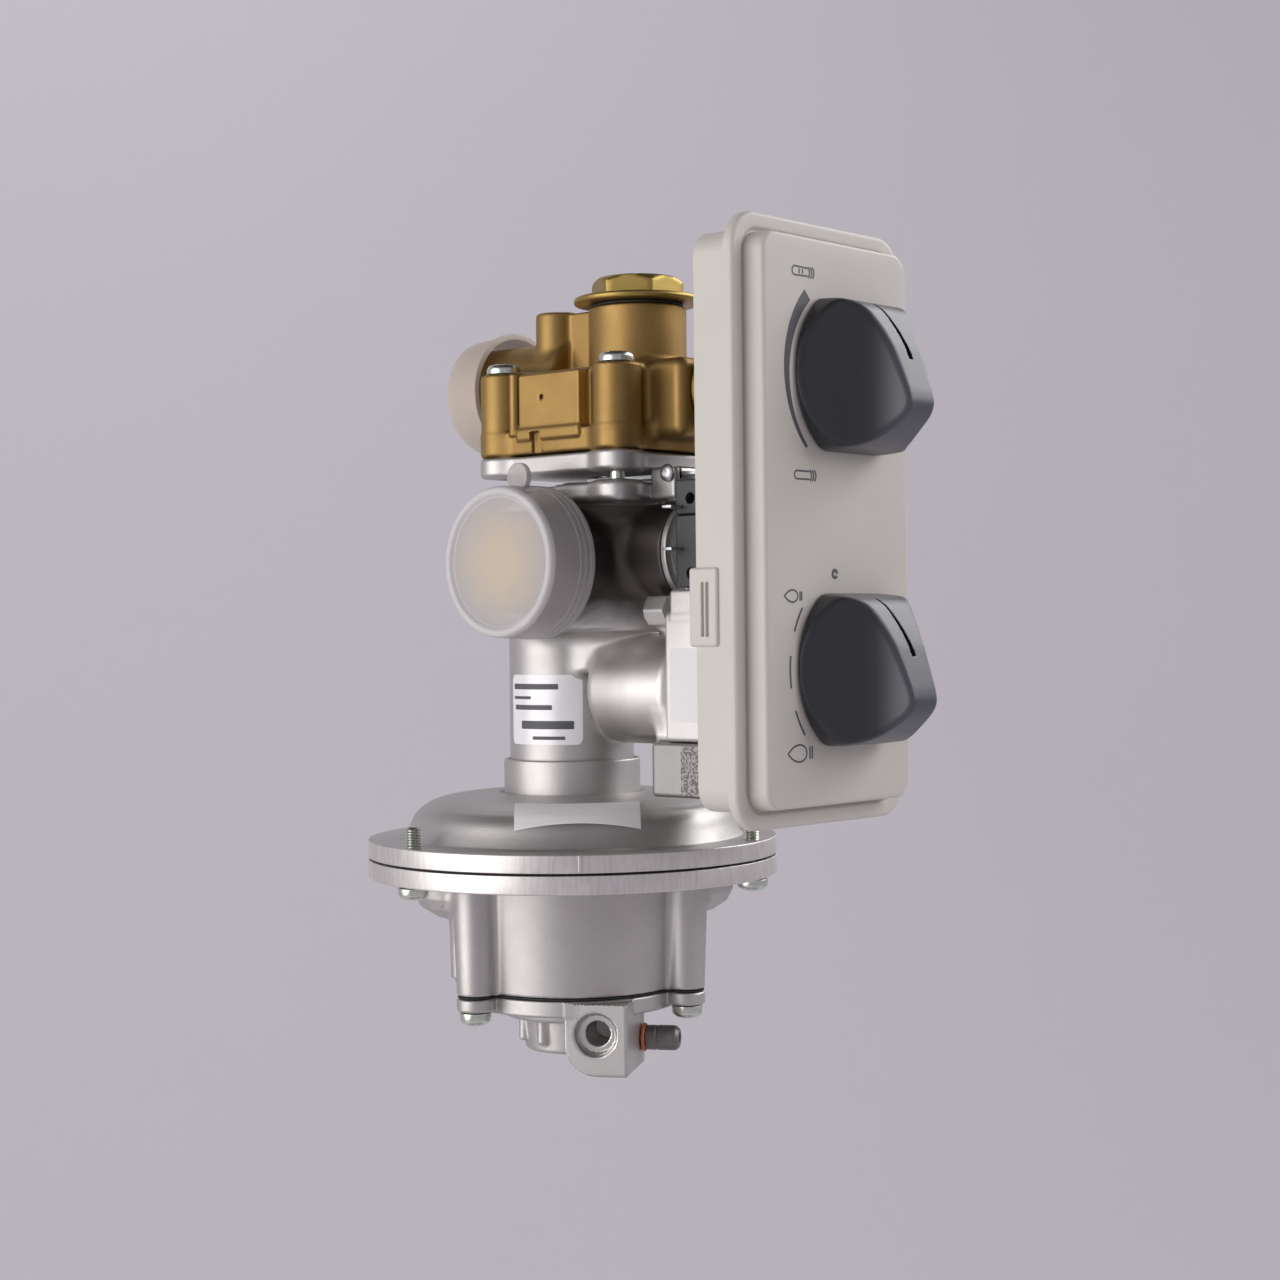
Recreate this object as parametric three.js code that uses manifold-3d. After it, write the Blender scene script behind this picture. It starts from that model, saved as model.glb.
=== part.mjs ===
// Combined gas and water valve for an instantaneous water heater.
// Millimetres, +Z up along the diaphragm axis of the pressure regulator.
// The origin is the middle of the spring boss's flat underside. The control panel faces -Y,
// the gas outlet faces -X, and the gas inlet and the water outlet face +X.

import * as THREE from 'three';
import { mergeVertices } from 'three/addons/utils/BufferGeometryUtils.js';
import Module from 'manifold-3d';

const wasm = await Module();
wasm.setup();

// ---------------------------------------------------------------- driving dimensions

const gap = 0.3;              // clearance between pieces that touch
const datum = 2.8;            // spring boss underside above the port block's underside

const flangeR = 56;           // regulator flanges
const flangeTop = 61;
const seamTop = 56.6;
const seamBottom = 55.4;
const flangeBottom = 50.8;
const boltCircle = 52;        // flange screws
const coverCircle = 33;       // cover screws
const screwAngles = [170, 290, 50];
const cupTurn = 230;          // between two screws the cup wall runs straight up to the flange
const cupFront = 16.5;        // distance of that straight side's edge from the axis
const bossR = 5.1;
const ventCircle = 30.4;
const ventAngle = 131.5;

const coverTop = 19.7;
const coverBottom = 15.2;
const cupBottom = 20.5;
const portTurn = 210;         // direction the test port faces, degrees from +X
const portReach = 28.2;
const portSide = 12.1;
const portZ = 11;

const neckR = 17;
const collarR = 18.7;
const collarTop = 82.3;

const waterY = -15;           // axis of the water section and the gas valve disc
const gasTop = 155.5;         // gas body's top flange
const slotTop = 158.3;        // underside of the diaphragm cover
const coverPlateTop = 163.4;
const brassBottom = 164.1;
const brassTop = 186;
const cornerX = 20;
const cornerY = 20.5;
const filterY = -25.8;
const filterR = 13;
const filterTop = 203;

const outletZ = 135;
const inletZ = 101.3;
const waterPortZ = 183.3;
const barrelZ = 137.5;
const barrelR = 13.6;
const barrelEnd = -44.5;
const tapBossZ = 101.3;
const headBack = -46.8;       // back face of the tap head

const knobX = 3;
const selectorZ = 179.3;
const powerZ = 107.1;
const panelFront = -93;       // raised front of the panel
const panelRim = -87.6;
const rimBack = -85;
const panelBack = -75.4;
const panelMid = 143;
const panelHeight = 149;
const panelLeft = -36;
const panelRight = 33;
const knobR = 22.4;
const knobHalf = 19;          // the round base is cut flat above and below
const knobBase = panelFront - 0.5;
const pivotY = -46.5;         // switch lever's pin
const leverZ = 157.55;

// ---------------------------------------------------------------- materials

function finish(color, roughness, metalness) {
  return () => new THREE.MeshStandardMaterial({ color, roughness, metalness });
}

const castAlu = finish(0xb4b1ac, 0.5, 0.9);
const brass = finish(0xb08a46, 0.35, 1);
const zinc = finish(0xc8cbb8, 0.3, 1);
const steel = finish(0xb9bcc0, 0.3, 1);
const rubber = finish(0x2a2a2c, 0.8, 0);
const orangeSeal = finish(0xd0632a, 0.6, 0);
const ivory = finish(0xd8d4cb, 0.45, 0);
const slate = finish(0x4b5157, 0.5, 0);
const milky = finish(0xdcd8d6, 0.3, 0);
const paleBlock = finish(0xdedcd8, 0.5, 0);
const darkGrey = finish(0x4a4b4f, 0.5, 0);

// ---------------------------------------------------------------- solids

// A closed solid from a geometry: position only, shared vertices, no empty triangles.
function solid(geometry) {
  geometry.deleteAttribute('normal');
  geometry.deleteAttribute('uv');
  const merged = mergeVertices(geometry, 1e-4);
  const index = merged.index.array;
  const triangles = [];
  for (let i = 0; i < index.length; i += 3) {
    const [a, b, c] = [index[i], index[i + 1], index[i + 2]];
    if (a !== b && b !== c && c !== a) triangles.push(a, b, c);
  }
  return new wasm.Manifold(new wasm.Mesh({
    numProp: 3,
    vertProperties: new Float32Array(merged.attributes.position.array),
    triVerts: new Uint32Array(triangles),
  }));
}

function join(first, ...rest) {
  return rest.reduce((sum, piece) => sum.add(piece), first);
}

function cut(first, ...rest) {
  return rest.reduce((left, piece) => left.subtract(piece), first);
}

// A round bar or cone from one point to another.
function bar(r, from, to, segments = 16, endR = r) {
  const a = new THREE.Vector3(...from);
  const b = new THREE.Vector3(...to);
  const along = b.clone().sub(a);
  const geometry = new THREE.CylinderGeometry(endR, r, along.length(), segments);
  const up = new THREE.Vector3(0, 1, 0);
  geometry.applyQuaternion(new THREE.Quaternion().setFromUnitVectors(up, along.normalize()));
  const mid = a.add(b).multiplyScalar(0.5);
  geometry.translate(mid.x, mid.y, mid.z);
  return solid(geometry);
}

function box(low, high) {
  const size = high.map((v, i) => v - low[i]);
  const geometry = new THREE.BoxGeometry(...size);
  geometry.translate(...high.map((v, i) => (v + low[i]) / 2));
  return solid(geometry);
}

// A profile of [radius, z] points turned about the vertical axis through (x, y).
function turned(profile, segments = 48, x = 0, y = 0) {
  const closed = profile[0][0] > 0 ? [...profile, profile[0]] : profile;
  const points = closed.map(([r, z]) => new THREE.Vector2(r, z));
  const geometry = new THREE.LatheGeometry(points, segments);
  geometry.rotateX(Math.PI / 2);
  geometry.translate(x, y, 0);
  return solid(geometry);
}

// A ring about the vertical axis through (x, y).
function ring(inner, outer, z0, z1, segments = 32, x = 0, y = 0) {
  return turned([[inner, z0], [outer, z0], [outer, z1], [inner, z1]], segments, x, y);
}

// A rectangle with rounded corners, centred on (x, y).
function roundedRect(width, height, r, x = 0, y = 0) {
  const shape = new THREE.Shape();
  const [w, h] = [width / 2, height / 2];
  shape.absarc(x + w - r, y - h + r, r, -Math.PI / 2, 0);
  shape.absarc(x + w - r, y + h - r, r, 0, Math.PI / 2);
  shape.absarc(x - w + r, y + h - r, r, Math.PI / 2, Math.PI);
  shape.absarc(x - w + r, y - h + r, r, Math.PI, 1.5 * Math.PI);
  return shape;
}

// An outline in the XY plane raised from z0 to z1.
function raised(shape, z0, z1, curveSegments = 5) {
  const options = { depth: z1 - z0, bevelEnabled: false, curveSegments };
  const geometry = new THREE.ExtrudeGeometry(shape, options);
  geometry.translate(0, 0, z0);
  return solid(geometry);
}

// An outline in the XZ plane pushed from y0 (the front) back to y1.
function pushed(shape, y0, y1, curveSegments = 5) {
  const options = { depth: y1 - y0, bevelEnabled: false, curveSegments };
  const geometry = new THREE.ExtrudeGeometry(shape, options);
  geometry.rotateX(Math.PI / 2);
  geometry.translate(0, y1, 0);
  return solid(geometry);
}

function polygon(points) {
  return new THREE.Shape(points.map(([a, b]) => new THREE.Vector2(a, b)));
}

function hexagon(acrossFlats, x = 0, y = 0) {
  const r = acrossFlats / Math.sqrt(3);
  const corners = [0, 1, 2, 3, 4, 5].map((k) => (k * Math.PI) / 3);
  return polygon(corners.map((a) => [x + r * Math.cos(a), y + r * Math.sin(a)]));
}

// Turns a solid about the vertical axis by degrees.
function swung(piece, degrees) {
  return piece.rotate([0, 0, degrees]);
}

function polar(radius, degrees) {
  const a = THREE.MathUtils.degToRad(degrees);
  return [radius * Math.cos(a), radius * Math.sin(a)];
}

// A helical wire along +Z from height z0 to z1 about (x, y).
function coil(meanR, wireR, turns, z0, z1) {
  const steps = Math.round(turns * 9);
  const points = [];
  for (let i = 0; i <= steps; i += 1) {
    const a = (i / steps) * turns * 2 * Math.PI;
    const z = z0 + wireR + (i / steps) * (z1 - z0 - 2 * wireR);
    points.push(new THREE.Vector3(meanR * Math.cos(a), meanR * Math.sin(a), z));
  }
  const section = new THREE.Shape();
  section.absarc(0, 0, wireR, 0, 2 * Math.PI);
  const extrudePath = new THREE.CatmullRomCurve3(points);
  return solid(new THREE.ExtrudeGeometry(section, { steps, curveSegments: 2, extrudePath }));
}

const valve = new THREE.Group();
valve.position.z = -datum;

function place(name, piece, material, group = valve) {
  const body = piece.getMesh();
  const geometry = new THREE.BufferGeometry();
  geometry.setAttribute('position', new THREE.BufferAttribute(new Float32Array(body.vertProperties), 3));
  geometry.setIndex(new THREE.BufferAttribute(new Uint32Array(body.triVerts), 1));
  geometry.computeVertexNormals();
  const mesh = new THREE.Mesh(geometry, material());
  mesh.name = name;
  group.add(mesh);
  return mesh;
}

// ---------------------------------------------------------------- pressure regulator

function topHousing() {
  const shell = turned([
    [flangeR, seamTop], [flangeR, flangeTop], [46, flangeTop], [44.6, 64.5],
    [42.4, 68.6], [37.5, 71.6], [30, 72.9], [collarR, 73.4],
    [collarR, collarTop], [neckR + gap, collarTop], [neckR + gap, 76], [13, 76], [13, 70.2],
    [33, 69.4], [40, 66], [42, 60], [42, seamTop],
  ], 32);
  const holes = screwAngles.map((angle) => {
    const [x, y] = polar(boltCircle, angle);
    return bar(2.4, [x, y, 50], [x, y, 66], 8);
  });
  return cut(shell, ...holes);
}

// Everything further than reach from the axis in the direction of cupTurn.
function cupSide(reach) {
  return swung(box([reach, -70, 0], [reach + 80, 70, flangeBottom]), cupTurn);
}

function lowerHousing() {
  const bowl = turned([
    [0, cupBottom], [28.9, cupBottom], [30.6, 38.2], [36, 39.2],
    [42.4, 42.9], [44.8, flangeBottom], [flangeR, flangeBottom], [flangeR, seamBottom], [0, seamBottom],
  ], 32);
  const cup = turned([[0, cupBottom], [28.9, cupBottom], [31.2, flangeBottom], [31.2, 52], [0, 52]], 32);
  const bosses = screwAngles.map((angle) => {
    const [x, y] = polar(coverCircle, angle);
    return bar(bossR, [x, y, cupBottom], [x, y, flangeBottom + 1], 16);
  });
  const [ventX, ventY] = polar(ventCircle, ventAngle);
  const vent = bar(3.6, [ventX, ventY, 22], [ventX, ventY, 42], 12);
  const ventPocket = bar(2.9, [ventX, ventY, 19], [ventX, ventY, 25.8], 10);
  const bowlHollow = turned([[0, 38], [26.2, 38.5], [34, 41.5], [40, 44.8], [42, 50], [42, 52], [0, 52]], 32);
  const hollow = join(
    turned([
      [0, cupBottom - 1], [26, cupBottom - 1], [26.4, 51.8], [42, 51.8], [42, seamBottom + 1], [0, seamBottom + 1],
    ], 32),
    cut(bowlHollow, cupSide(cupFront - 2.5)),
  );
  const coverHoles = screwAngles.map((angle) => {
    const [x, y] = polar(coverCircle, angle);
    return bar(1.9, [x, y, cupBottom - 1], [x, y, 33], 8);
  });
  const flangeHoles = screwAngles.map((angle) => {
    const [x, y] = polar(boltCircle, angle);
    return bar(2.4, [x, y, 45], [x, y, 60], 8);
  });
  const ventHole = bar(2, [ventX, ventY, 25], [ventX, ventY, 33], 8);
  const outside = join(cut(bowl, cupSide(cupFront)), cup, ...bosses, vent);
  return cut(outside, hollow, ...coverHoles, ...flangeHoles, ventHole, ventPocket);
}

// Pan-head screw standing on the origin with its head below and its shank up.
function screwUp(headR, headHeight, shankR, length) {
  return join(
    turned([[0, -headHeight], [headR - 1, -headHeight], [headR, -headHeight + 1.2], [headR, 0], [0, 0]], 16),
    bar(shankR, [0, 0, -0.5], [0, 0, length], 8),
  );
}

function bottomCover() {
  const plate = bar(28.6, [0, 0, coverBottom], [0, 0, coverTop], 28);
  const ears = screwAngles.map((angle) => {
    const [x, y] = polar(coverCircle, angle);
    return bar(bossR, [x, y, 16.2], [x, y, coverTop], 16);
  });
  const springBoss = turned([[0, datum], [13.2, datum], [14.8, datum + 1.6], [14.8, 16], [0, 16]], 28);
  const face = new THREE.Shape();
  face.moveTo(portSide - 8.5, coverTop);
  face.absarc(portSide + 0.5, 9, 9, Math.PI, 1.5 * Math.PI);
  face.lineTo(portSide + 7.5, 0);
  face.absarc(portSide + 7.5, 1, 1, 1.5 * Math.PI, 2 * Math.PI);
  face.lineTo(portSide + 8.5, coverTop);
  const block = new THREE.ExtrudeGeometry(face, { depth: portReach - 5, bevelEnabled: false, curveSegments: 8 });
  block.rotateX(Math.PI / 2);
  block.rotateZ(Math.PI / 2);
  block.translate(5, 0, 0);
  const port = swung(solid(block), portTurn);
  const bore = join(
    bar(3.3, [14, portSide, portZ], [portReach + 1, portSide, portZ], 16),
    bar(5.2, [portReach - 2.6, portSide, portZ], [portReach + 1, portSide, portZ], 18, 5.9),
    bar(2.1, [9, portSide + 2, 7.4], [9, portSide + 12, 7.4], 8),
  );
  const spring = bar(10.5, [0, 0, 7], [0, 0, 21], 16);
  const screws = screwAngles.map((angle) => {
    const [x, y] = polar(coverCircle, angle);
    return bar(2.4, [x, y, 10], [x, y, 25], 8);
  });
  return cut(join(plate, ...ears, springBoss, port), swung(bore, portTurn), spring, ...screws);
}

function coverGasket() {
  const holes = screwAngles.map((angle) => {
    const [x, y] = polar(coverCircle, angle);
    return bar(2.4, [x, y, 15], [x, y, 25], 8);
  });
  const ears = screwAngles.map((angle) => {
    const [x, y] = polar(coverCircle, angle);
    return bar(bossR - 0.4, [x, y, 19.95], [x, y, 20.25], 16);
  });
  const disc = bar(28.5, [0, 0, 19.95], [0, 0, 20.25], 28);
  const middle = bar(26, [0, 0, 19], [0, 0, 21], 28);
  return cut(join(disc, ...ears), middle, ...holes);
}

function addRegulator() {
  const regulator = new THREE.Group();
  valve.add(regulator);
  place('regulator_top_housing', topHousing(), castAlu, regulator);
  place('regulator_lower_housing', lowerHousing(), castAlu, regulator);
  const edge = turned([
    [5.6, 55.7], [34, 55.7], [36.5, 57.5], [39, 55.7], [55.6, 55.7], [55.6, 56.3],
    [39.3, 56.3], [36.5, 58.3], [33.7, 56.3], [5.6, 56.3],
  ], 28);
  const flangeHoles = screwAngles.map((angle) => {
    const [x, y] = polar(boltCircle, angle);
    return bar(2.4, [x, y, 50], [x, y, 60], 8);
  });
  place('regulator_diaphragm', cut(edge, ...flangeHoles), rubber, regulator);
  place('regulator_plate', ring(3.2, 31, 53.6, 55.4, 40), castAlu, regulator);
  const stem = join(
    turned([[0, 56.6], [22, 56.6], [22, 57.8], [5, 57.8], [2.5, 60], [2.5, 93], [0, 93]], 16),
    bar(2.5, [0, 0, 50], [0, 0, 57], 12),
    turned([[0, 92.5], [9.5, 92.5], [9.5, 94.2], [5, 96.5], [0, 96.5]], 16),
  );
  place('regulator_stem', stem, steel, regulator);
  place('regulator_spring', coil(8.5, 0.8, 5, 7.4, 53.2), steel, regulator);
  place('bottom_cover', bottomCover(), castAlu, regulator);
  place('cover_gasket', coverGasket(), rubber, regulator);
  const [ventX, ventY] = polar(ventCircle, ventAngle);
  const vent = join(
    bar(2.6, [ventX, ventY, 20.8], [ventX, ventY, 25.5], 12),
    bar(1.7, [ventX, ventY, 25], [ventX, ventY, 31], 8),
  );
  place('vent_plug', vent, castAlu, regulator);
  const sealSolid = cut(
    bar(3.9, [9, portSide + 8.8, 7.4], [9, portSide + 9.8, 7.4], 16),
    bar(2.1, [9, portSide + 8, 7.4], [9, portSide + 11, 7.4], 8),
  );
  place('port_plug_seal', swung(sealSolid, portTurn), orangeSeal, regulator);
  const plug = join(
    bar(3.2, [9, portSide + 10.1, 7.4], [9, portSide + 18, 7.4], 8),
    bar(3.2, [9, portSide + 18, 7.4], [9, portSide + 19, 7.4], 8, 2.4),
    bar(1.8, [9, portSide + 3, 7.4], [9, portSide + 11, 7.4], 8),
  );
  place('port_plug', swung(plug, portTurn), steel, regulator);
  screwAngles.forEach((angle, i) => {
    const [x, y] = polar(boltCircle, angle);
    const flangeScrew = place(`flange_screw_${i + 1}`, screwUp(4.1, 3, 2, 16), zinc, regulator);
    flangeScrew.position.set(x, y, flangeBottom - gap);
    const [u, v] = polar(coverCircle, angle);
    const coverScrew = place(`cover_screw_${i + 1}`, screwUp(4.2, 3.4, 1.6, 15), zinc, regulator);
    coverScrew.position.set(u, v, 16.2 - gap);
  });
}

// ---------------------------------------------------------------- gas section

const frontCorners = [[-cornerX, waterY - 0.5 - cornerY], [cornerX, waterY - 0.5 - cornerY]];
const rearCorners = [[-cornerX, waterY - 0.5 + cornerY], [cornerX, waterY - 0.5 + cornerY]];
const corners = [frontCorners[0], rearCorners[0], frontCorners[1], rearCorners[1]];

function cornerPlate(z0, z1, half, lugR) {
  const lugs = corners.map(([x, y]) => bar(lugR, [x, y, z0], [x, y, z1], 16));
  return join(raised(roundedRect(2 * half, 2 * half + 1, 3, 0, waterY - 0.5), z0, z1), ...lugs);
}

function screwHoles(places, r, z0, z1) {
  return places.map(([x, y]) => bar(r, [x, y, z0], [x, y, z1], 8));
}

function gasBody() {
  const lug = (x) => box([x, -48.6, 151], [x + 2.5, -40, 159.3]);
  const outside = join(
    bar(neckR, [0, 0, 76.3], [0, 0, 124], 16),
    bar(20, [0, waterY, 117], [0, waterY, gasTop], 24),
    bar(11.6, [0, waterY, 106], [0, waterY, 119]),
    raised(roundedRect(48, 24, 3, 0, waterY - 13), 150.8, gasTop),
    ...frontCorners.map(([x, y]) => bar(6.3, [x, y, 150.8], [x, y, gasTop], 16)),
    bar(15.5, [-10, waterY, outletZ], [-27, waterY, outletZ], 16),
    bar(14, [10, 0, inletZ], [34, 0, inletZ], 16),
    bar(barrelR, [0, -20, barrelZ], [0, barrelEnd, barrelZ], 16),
    bar(12.4, [0, -19, tapBossZ], [0, -21, tapBossZ], 20, 14.4),
    bar(14.4, [0, -21, tapBossZ], [0, headBack + gap, tapBossZ], 16),
    box([-7, -20, 90], [7, -8, 112]),
    box([-15, headBack + gap, 74.2], [9, -42, 95]),
    box([-15, -71, 74.2], [9, -42, 88.2]),
    box([-15, -74.6, 75.8], [9, -70, 88.2]),
    lug(-12),
    lug(9.5),
  );
  const hollow = [
    bar(12, [0, 0, 70], [0, 0, 88], 16),
    bar(7.5, [0, 0, 86], [0, 0, 93], 16),
    bar(12, [0, 0, 91], [0, 0, 118], 16),
    bar(9, [0, waterY, 110], [0, waterY, 126], 16),
    bar(6, [0, waterY, 125], [0, waterY, 131], 16),
    bar(9, [0, waterY, 130], [0, waterY, 160], 16),
    bar(13, [0, waterY, 154], [0, waterY, 160], 16),
    bar(9.5, [0, waterY, outletZ], [-30, waterY, outletZ], 16),
    bar(12, [-19.5, waterY, outletZ], [-30, waterY, outletZ], 16),
    bar(10, [8, 0, inletZ], [36, 0, inletZ], 16),
    bar(9.5, [0, -26, barrelZ], [0, -60, barrelZ], 16),
    bar(4, [0, -20, barrelZ], [0, -28, barrelZ], 12),
    bar(7.5, [knobX, -25, powerZ], [knobX, -60, powerZ], 16),
    bar(3, [0, -5, inletZ], [0, -28, inletZ], 8),
    bar(1.3, [-20, pivotY, leverZ], [20, pivotY, leverZ], 8),
    bar(2, [-4, -60, 81.2], [-4, -80, 81.2], 8),
  ];
  return cut(outside, ...hollow, ...screwHoles(frontCorners, 2.2, 145, 160));
}

// A push-on cap turned about X: open at x0, closed lid at x1 (x1 < x0), with a pull tab on top.
function capX(outer, wall, x0, x1, y, z) {
  const shell = cut(
    bar(outer - 0.6, [x0, y, z], [x1, y, z], 28, outer),
    bar(outer - wall, [x0 + 1, y, z], [x1 + wall, y, z], 16),
  );
  const tab = box([x0 - 9, y - 4, z + outer - 1.2], [x0 - 5, y + 4, z + outer + 6]);
  return join(shell, tab);
}

function addGasSection() {
  const gas = new THREE.Group();
  valve.add(gas);
  place('gas_body', gasBody(), castAlu, gas);
  const gland = cut(
    bar(8.7, [0, waterY, 146], [0, waterY, 153.6], 16),
    bar(1.9, [0, waterY, 140], [0, waterY, 160], 8),
  );
  place('rod_gland', gland, brass, gas);
  place('gas_valve_disc', turned([[0, 123.2], [7.8, 123.2], [7.8, 125.7], [0, 125.7]], 18, 0, waterY), rubber, gas);
  const valveSpring = place('gas_valve_spring', coil(5.5, 0.5, 4, 0, 12.5), steel, gas);
  valveSpring.position.set(0, waterY, 110.4);
  const nipple = cut(
    join(
      bar(11.7, [-20, waterY, outletZ], [-27.5, waterY, outletZ], 16),
      bar(13.2, [-27.3, waterY, outletZ], [-40, waterY, outletZ], 16),
    ),
    bar(9, [-15, waterY, outletZ], [-45, waterY, outletZ], 16),
  );
  place('outlet_nipple', nipple, brass, gas);
  place('outlet_cap', capX(20, 2, -27.6, -43.5, waterY, outletZ), milky, gas);
  const tapPlug = cut(
    bar(5.6, [knobX, -26, powerZ], [knobX, -43, powerZ], 16, 7.1),
    bar(2.2, [knobX, -34, powerZ - 12], [knobX, -34, powerZ + 12], 8),
  );
  place('tap_plug', tapPlug, brass, gas);
  place('tap_spindle', bar(3, [knobX, -43.3, powerZ], [knobX, knobBase - 12, powerZ], 12), steel, gas);
  const head = cut(
    join(
      box([-15, -64, 88.5], [21, headBack, 127.4]),
      bar(4, [14, -63, 122], [14, -74.6, 122], 12),
    ),
    bar(3.5, [knobX, -40, powerZ], [knobX, -70, powerZ], 12),
    bar(2, [14, -66, 122], [14, -80, 122], 8),
  );
  place('tap_head', head, paleBlock, gas);
  const nut = new THREE.ExtrudeGeometry(hexagon(7.5), { depth: 7, bevelEnabled: false });
  nut.rotateX(-Math.PI / 2);
  nut.translate(-11, headBack + gap, 122.2);
  place('head_nut', solid(nut), zinc, gas);

  const coilBody = cut(
    bar(8.8, [0, -33, barrelZ], [0, barrelEnd + 0.4, barrelZ], 16),
    bar(3.7, [0, -30, barrelZ], [0, barrelEnd + 3, barrelZ], 12),
  );
  place('magnet_coil', coilBody, darkGrey, gas);
  const armature = join(
    bar(6, [0, -26.3, barrelZ], [0, -28.3, barrelZ], 16),
    bar(3.2, [0, -28, barrelZ], [0, -38, barrelZ], 12),
  );
  place('magnet_armature', armature, steel, gas);
  const returnSpring = place('magnet_spring', coil(4.9, 0.35, 3, 0, 4), steel, gas);
  returnSpring.rotation.x = Math.PI / 2;
  returnSpring.position.set(0, -28.6, barrelZ);
  place('barrel_cover', bar(barrelR, [0, barrelEnd - gap, barrelZ], [0, headBack + gap, barrelZ], 16), castAlu, gas);
}

function addSwitch() {
  const switchGroup = new THREE.Group();
  valve.add(switchGroup);
  const body = cut(
    box([-15, -61, 127.8], [1, -51, 155.4]),
    bar(1.4, [-20, -56, 131.5], [5, -56, 131.5], 8),
    bar(1.4, [-20, -56, 150.5], [5, -56, 150.5], 8),
    bar(1.3, [-7, -56, 145], [-7, -56, 160], 8),
  );
  place('switch_body', body, darkGrey, switchGroup);
  [148.4, 137.7].forEach((z, i) => {
    const blade = cut(
      box([-19.5, -53.6, z - 0.5], [-15.3, -50.4, z + 0.5]),
      bar(0.7, [-17.8, -52, z - 2], [-17.8, -52, z + 2], 8),
    );
    place(`switch_terminal_${i + 1}`, blade, steel, switchGroup);
  });
  place('switch_plunger', bar(1, [-7, -56, 147], [-7, -56, 156.8], 8), slate, switchGroup);
  const lever = cut(
    join(
      box([-4, -46.5, leverZ - 0.45], [4, -10.5, leverZ + 0.45]),
      box([-9.2, -59, leverZ - 0.45], [4, -46.5, leverZ + 0.45]),
      bar(1.9, [-8.6, pivotY, leverZ], [8.6, pivotY, leverZ], 8),
    ),
    bar(1.15, [-20, pivotY, leverZ], [20, pivotY, leverZ], 8),
    bar(2.7, [0, waterY, 150], [0, waterY, 165], 12),
    box([-0.5, -60, 150], [5, -49.5, 165]),
  );
  place('switch_lever', lever, steel, switchGroup);
  const pin = join(
    bar(1, [-13, pivotY, leverZ], [12.6, pivotY, leverZ], 8),
    bar(2.3, [-13.6, pivotY, leverZ], [-12.3, pivotY, leverZ], 12),
  );
  place('lever_pin', pin, steel, switchGroup);
}

// ---------------------------------------------------------------- water section

function waterBody() {
  const [small, big] = [5.9, filterR];
  const outside = join(
    cornerPlate(brassBottom, 170.2, 24, 6.2),
    cornerPlate(169, brassTop, 21.5, 6.2),
    box([-24, -29, 170], [-20, -1, 184.8]),
    bar(big, [0, filterY, 184], [0, filterY, filterTop], 32),
    bar(small, [-4, 0, 184], [-4, 0, 203.7], 16),
    box([-5, -18, 184], [1, 0, filterTop]),
    bar(13.2, [0, -6, waterPortZ], [0, 30.5, waterPortZ], 32),
    box([-12, -51, 167], [14, -34, 187.6]),
    bar(10.5, [20, waterY, 176], [38, waterY, 176], 16),
  );
  const hollow = [
    bar(17.5, [0, waterY, 160], [0, waterY, 168.6], 32),
    bar(2.4, [0, waterY, 165], [0, waterY, 176], 8),
    bar(9.6, [0, filterY, 176], [0, filterY, 206], 16),
    bar(9, [0, -2, waterPortZ], [0, 35, waterPortZ], 16),
    bar(3.6, [0, -20, 180], [0, 0, 180], 12),
    bar(5, [knobX, -30, selectorZ], [knobX, -55, selectorZ], 12),
    bar(6.5, [0, waterY, 176], [40, waterY, 176], 12),
  ];
  return cut(outside, ...hollow, ...screwHoles(corners, 2.3, 150, 190));
}

function diaphragmCover() {
  return cut(
    cornerPlate(slotTop, coverPlateTop, 24, 6.4),
    bar(17.5, [0, waterY, 161.4], [0, waterY, 165], 32),
    bar(4.2, [0, waterY, 150], [0, waterY, 170], 12),
    ...screwHoles(corners, 2.3, 150, 170),
  );
}

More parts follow.
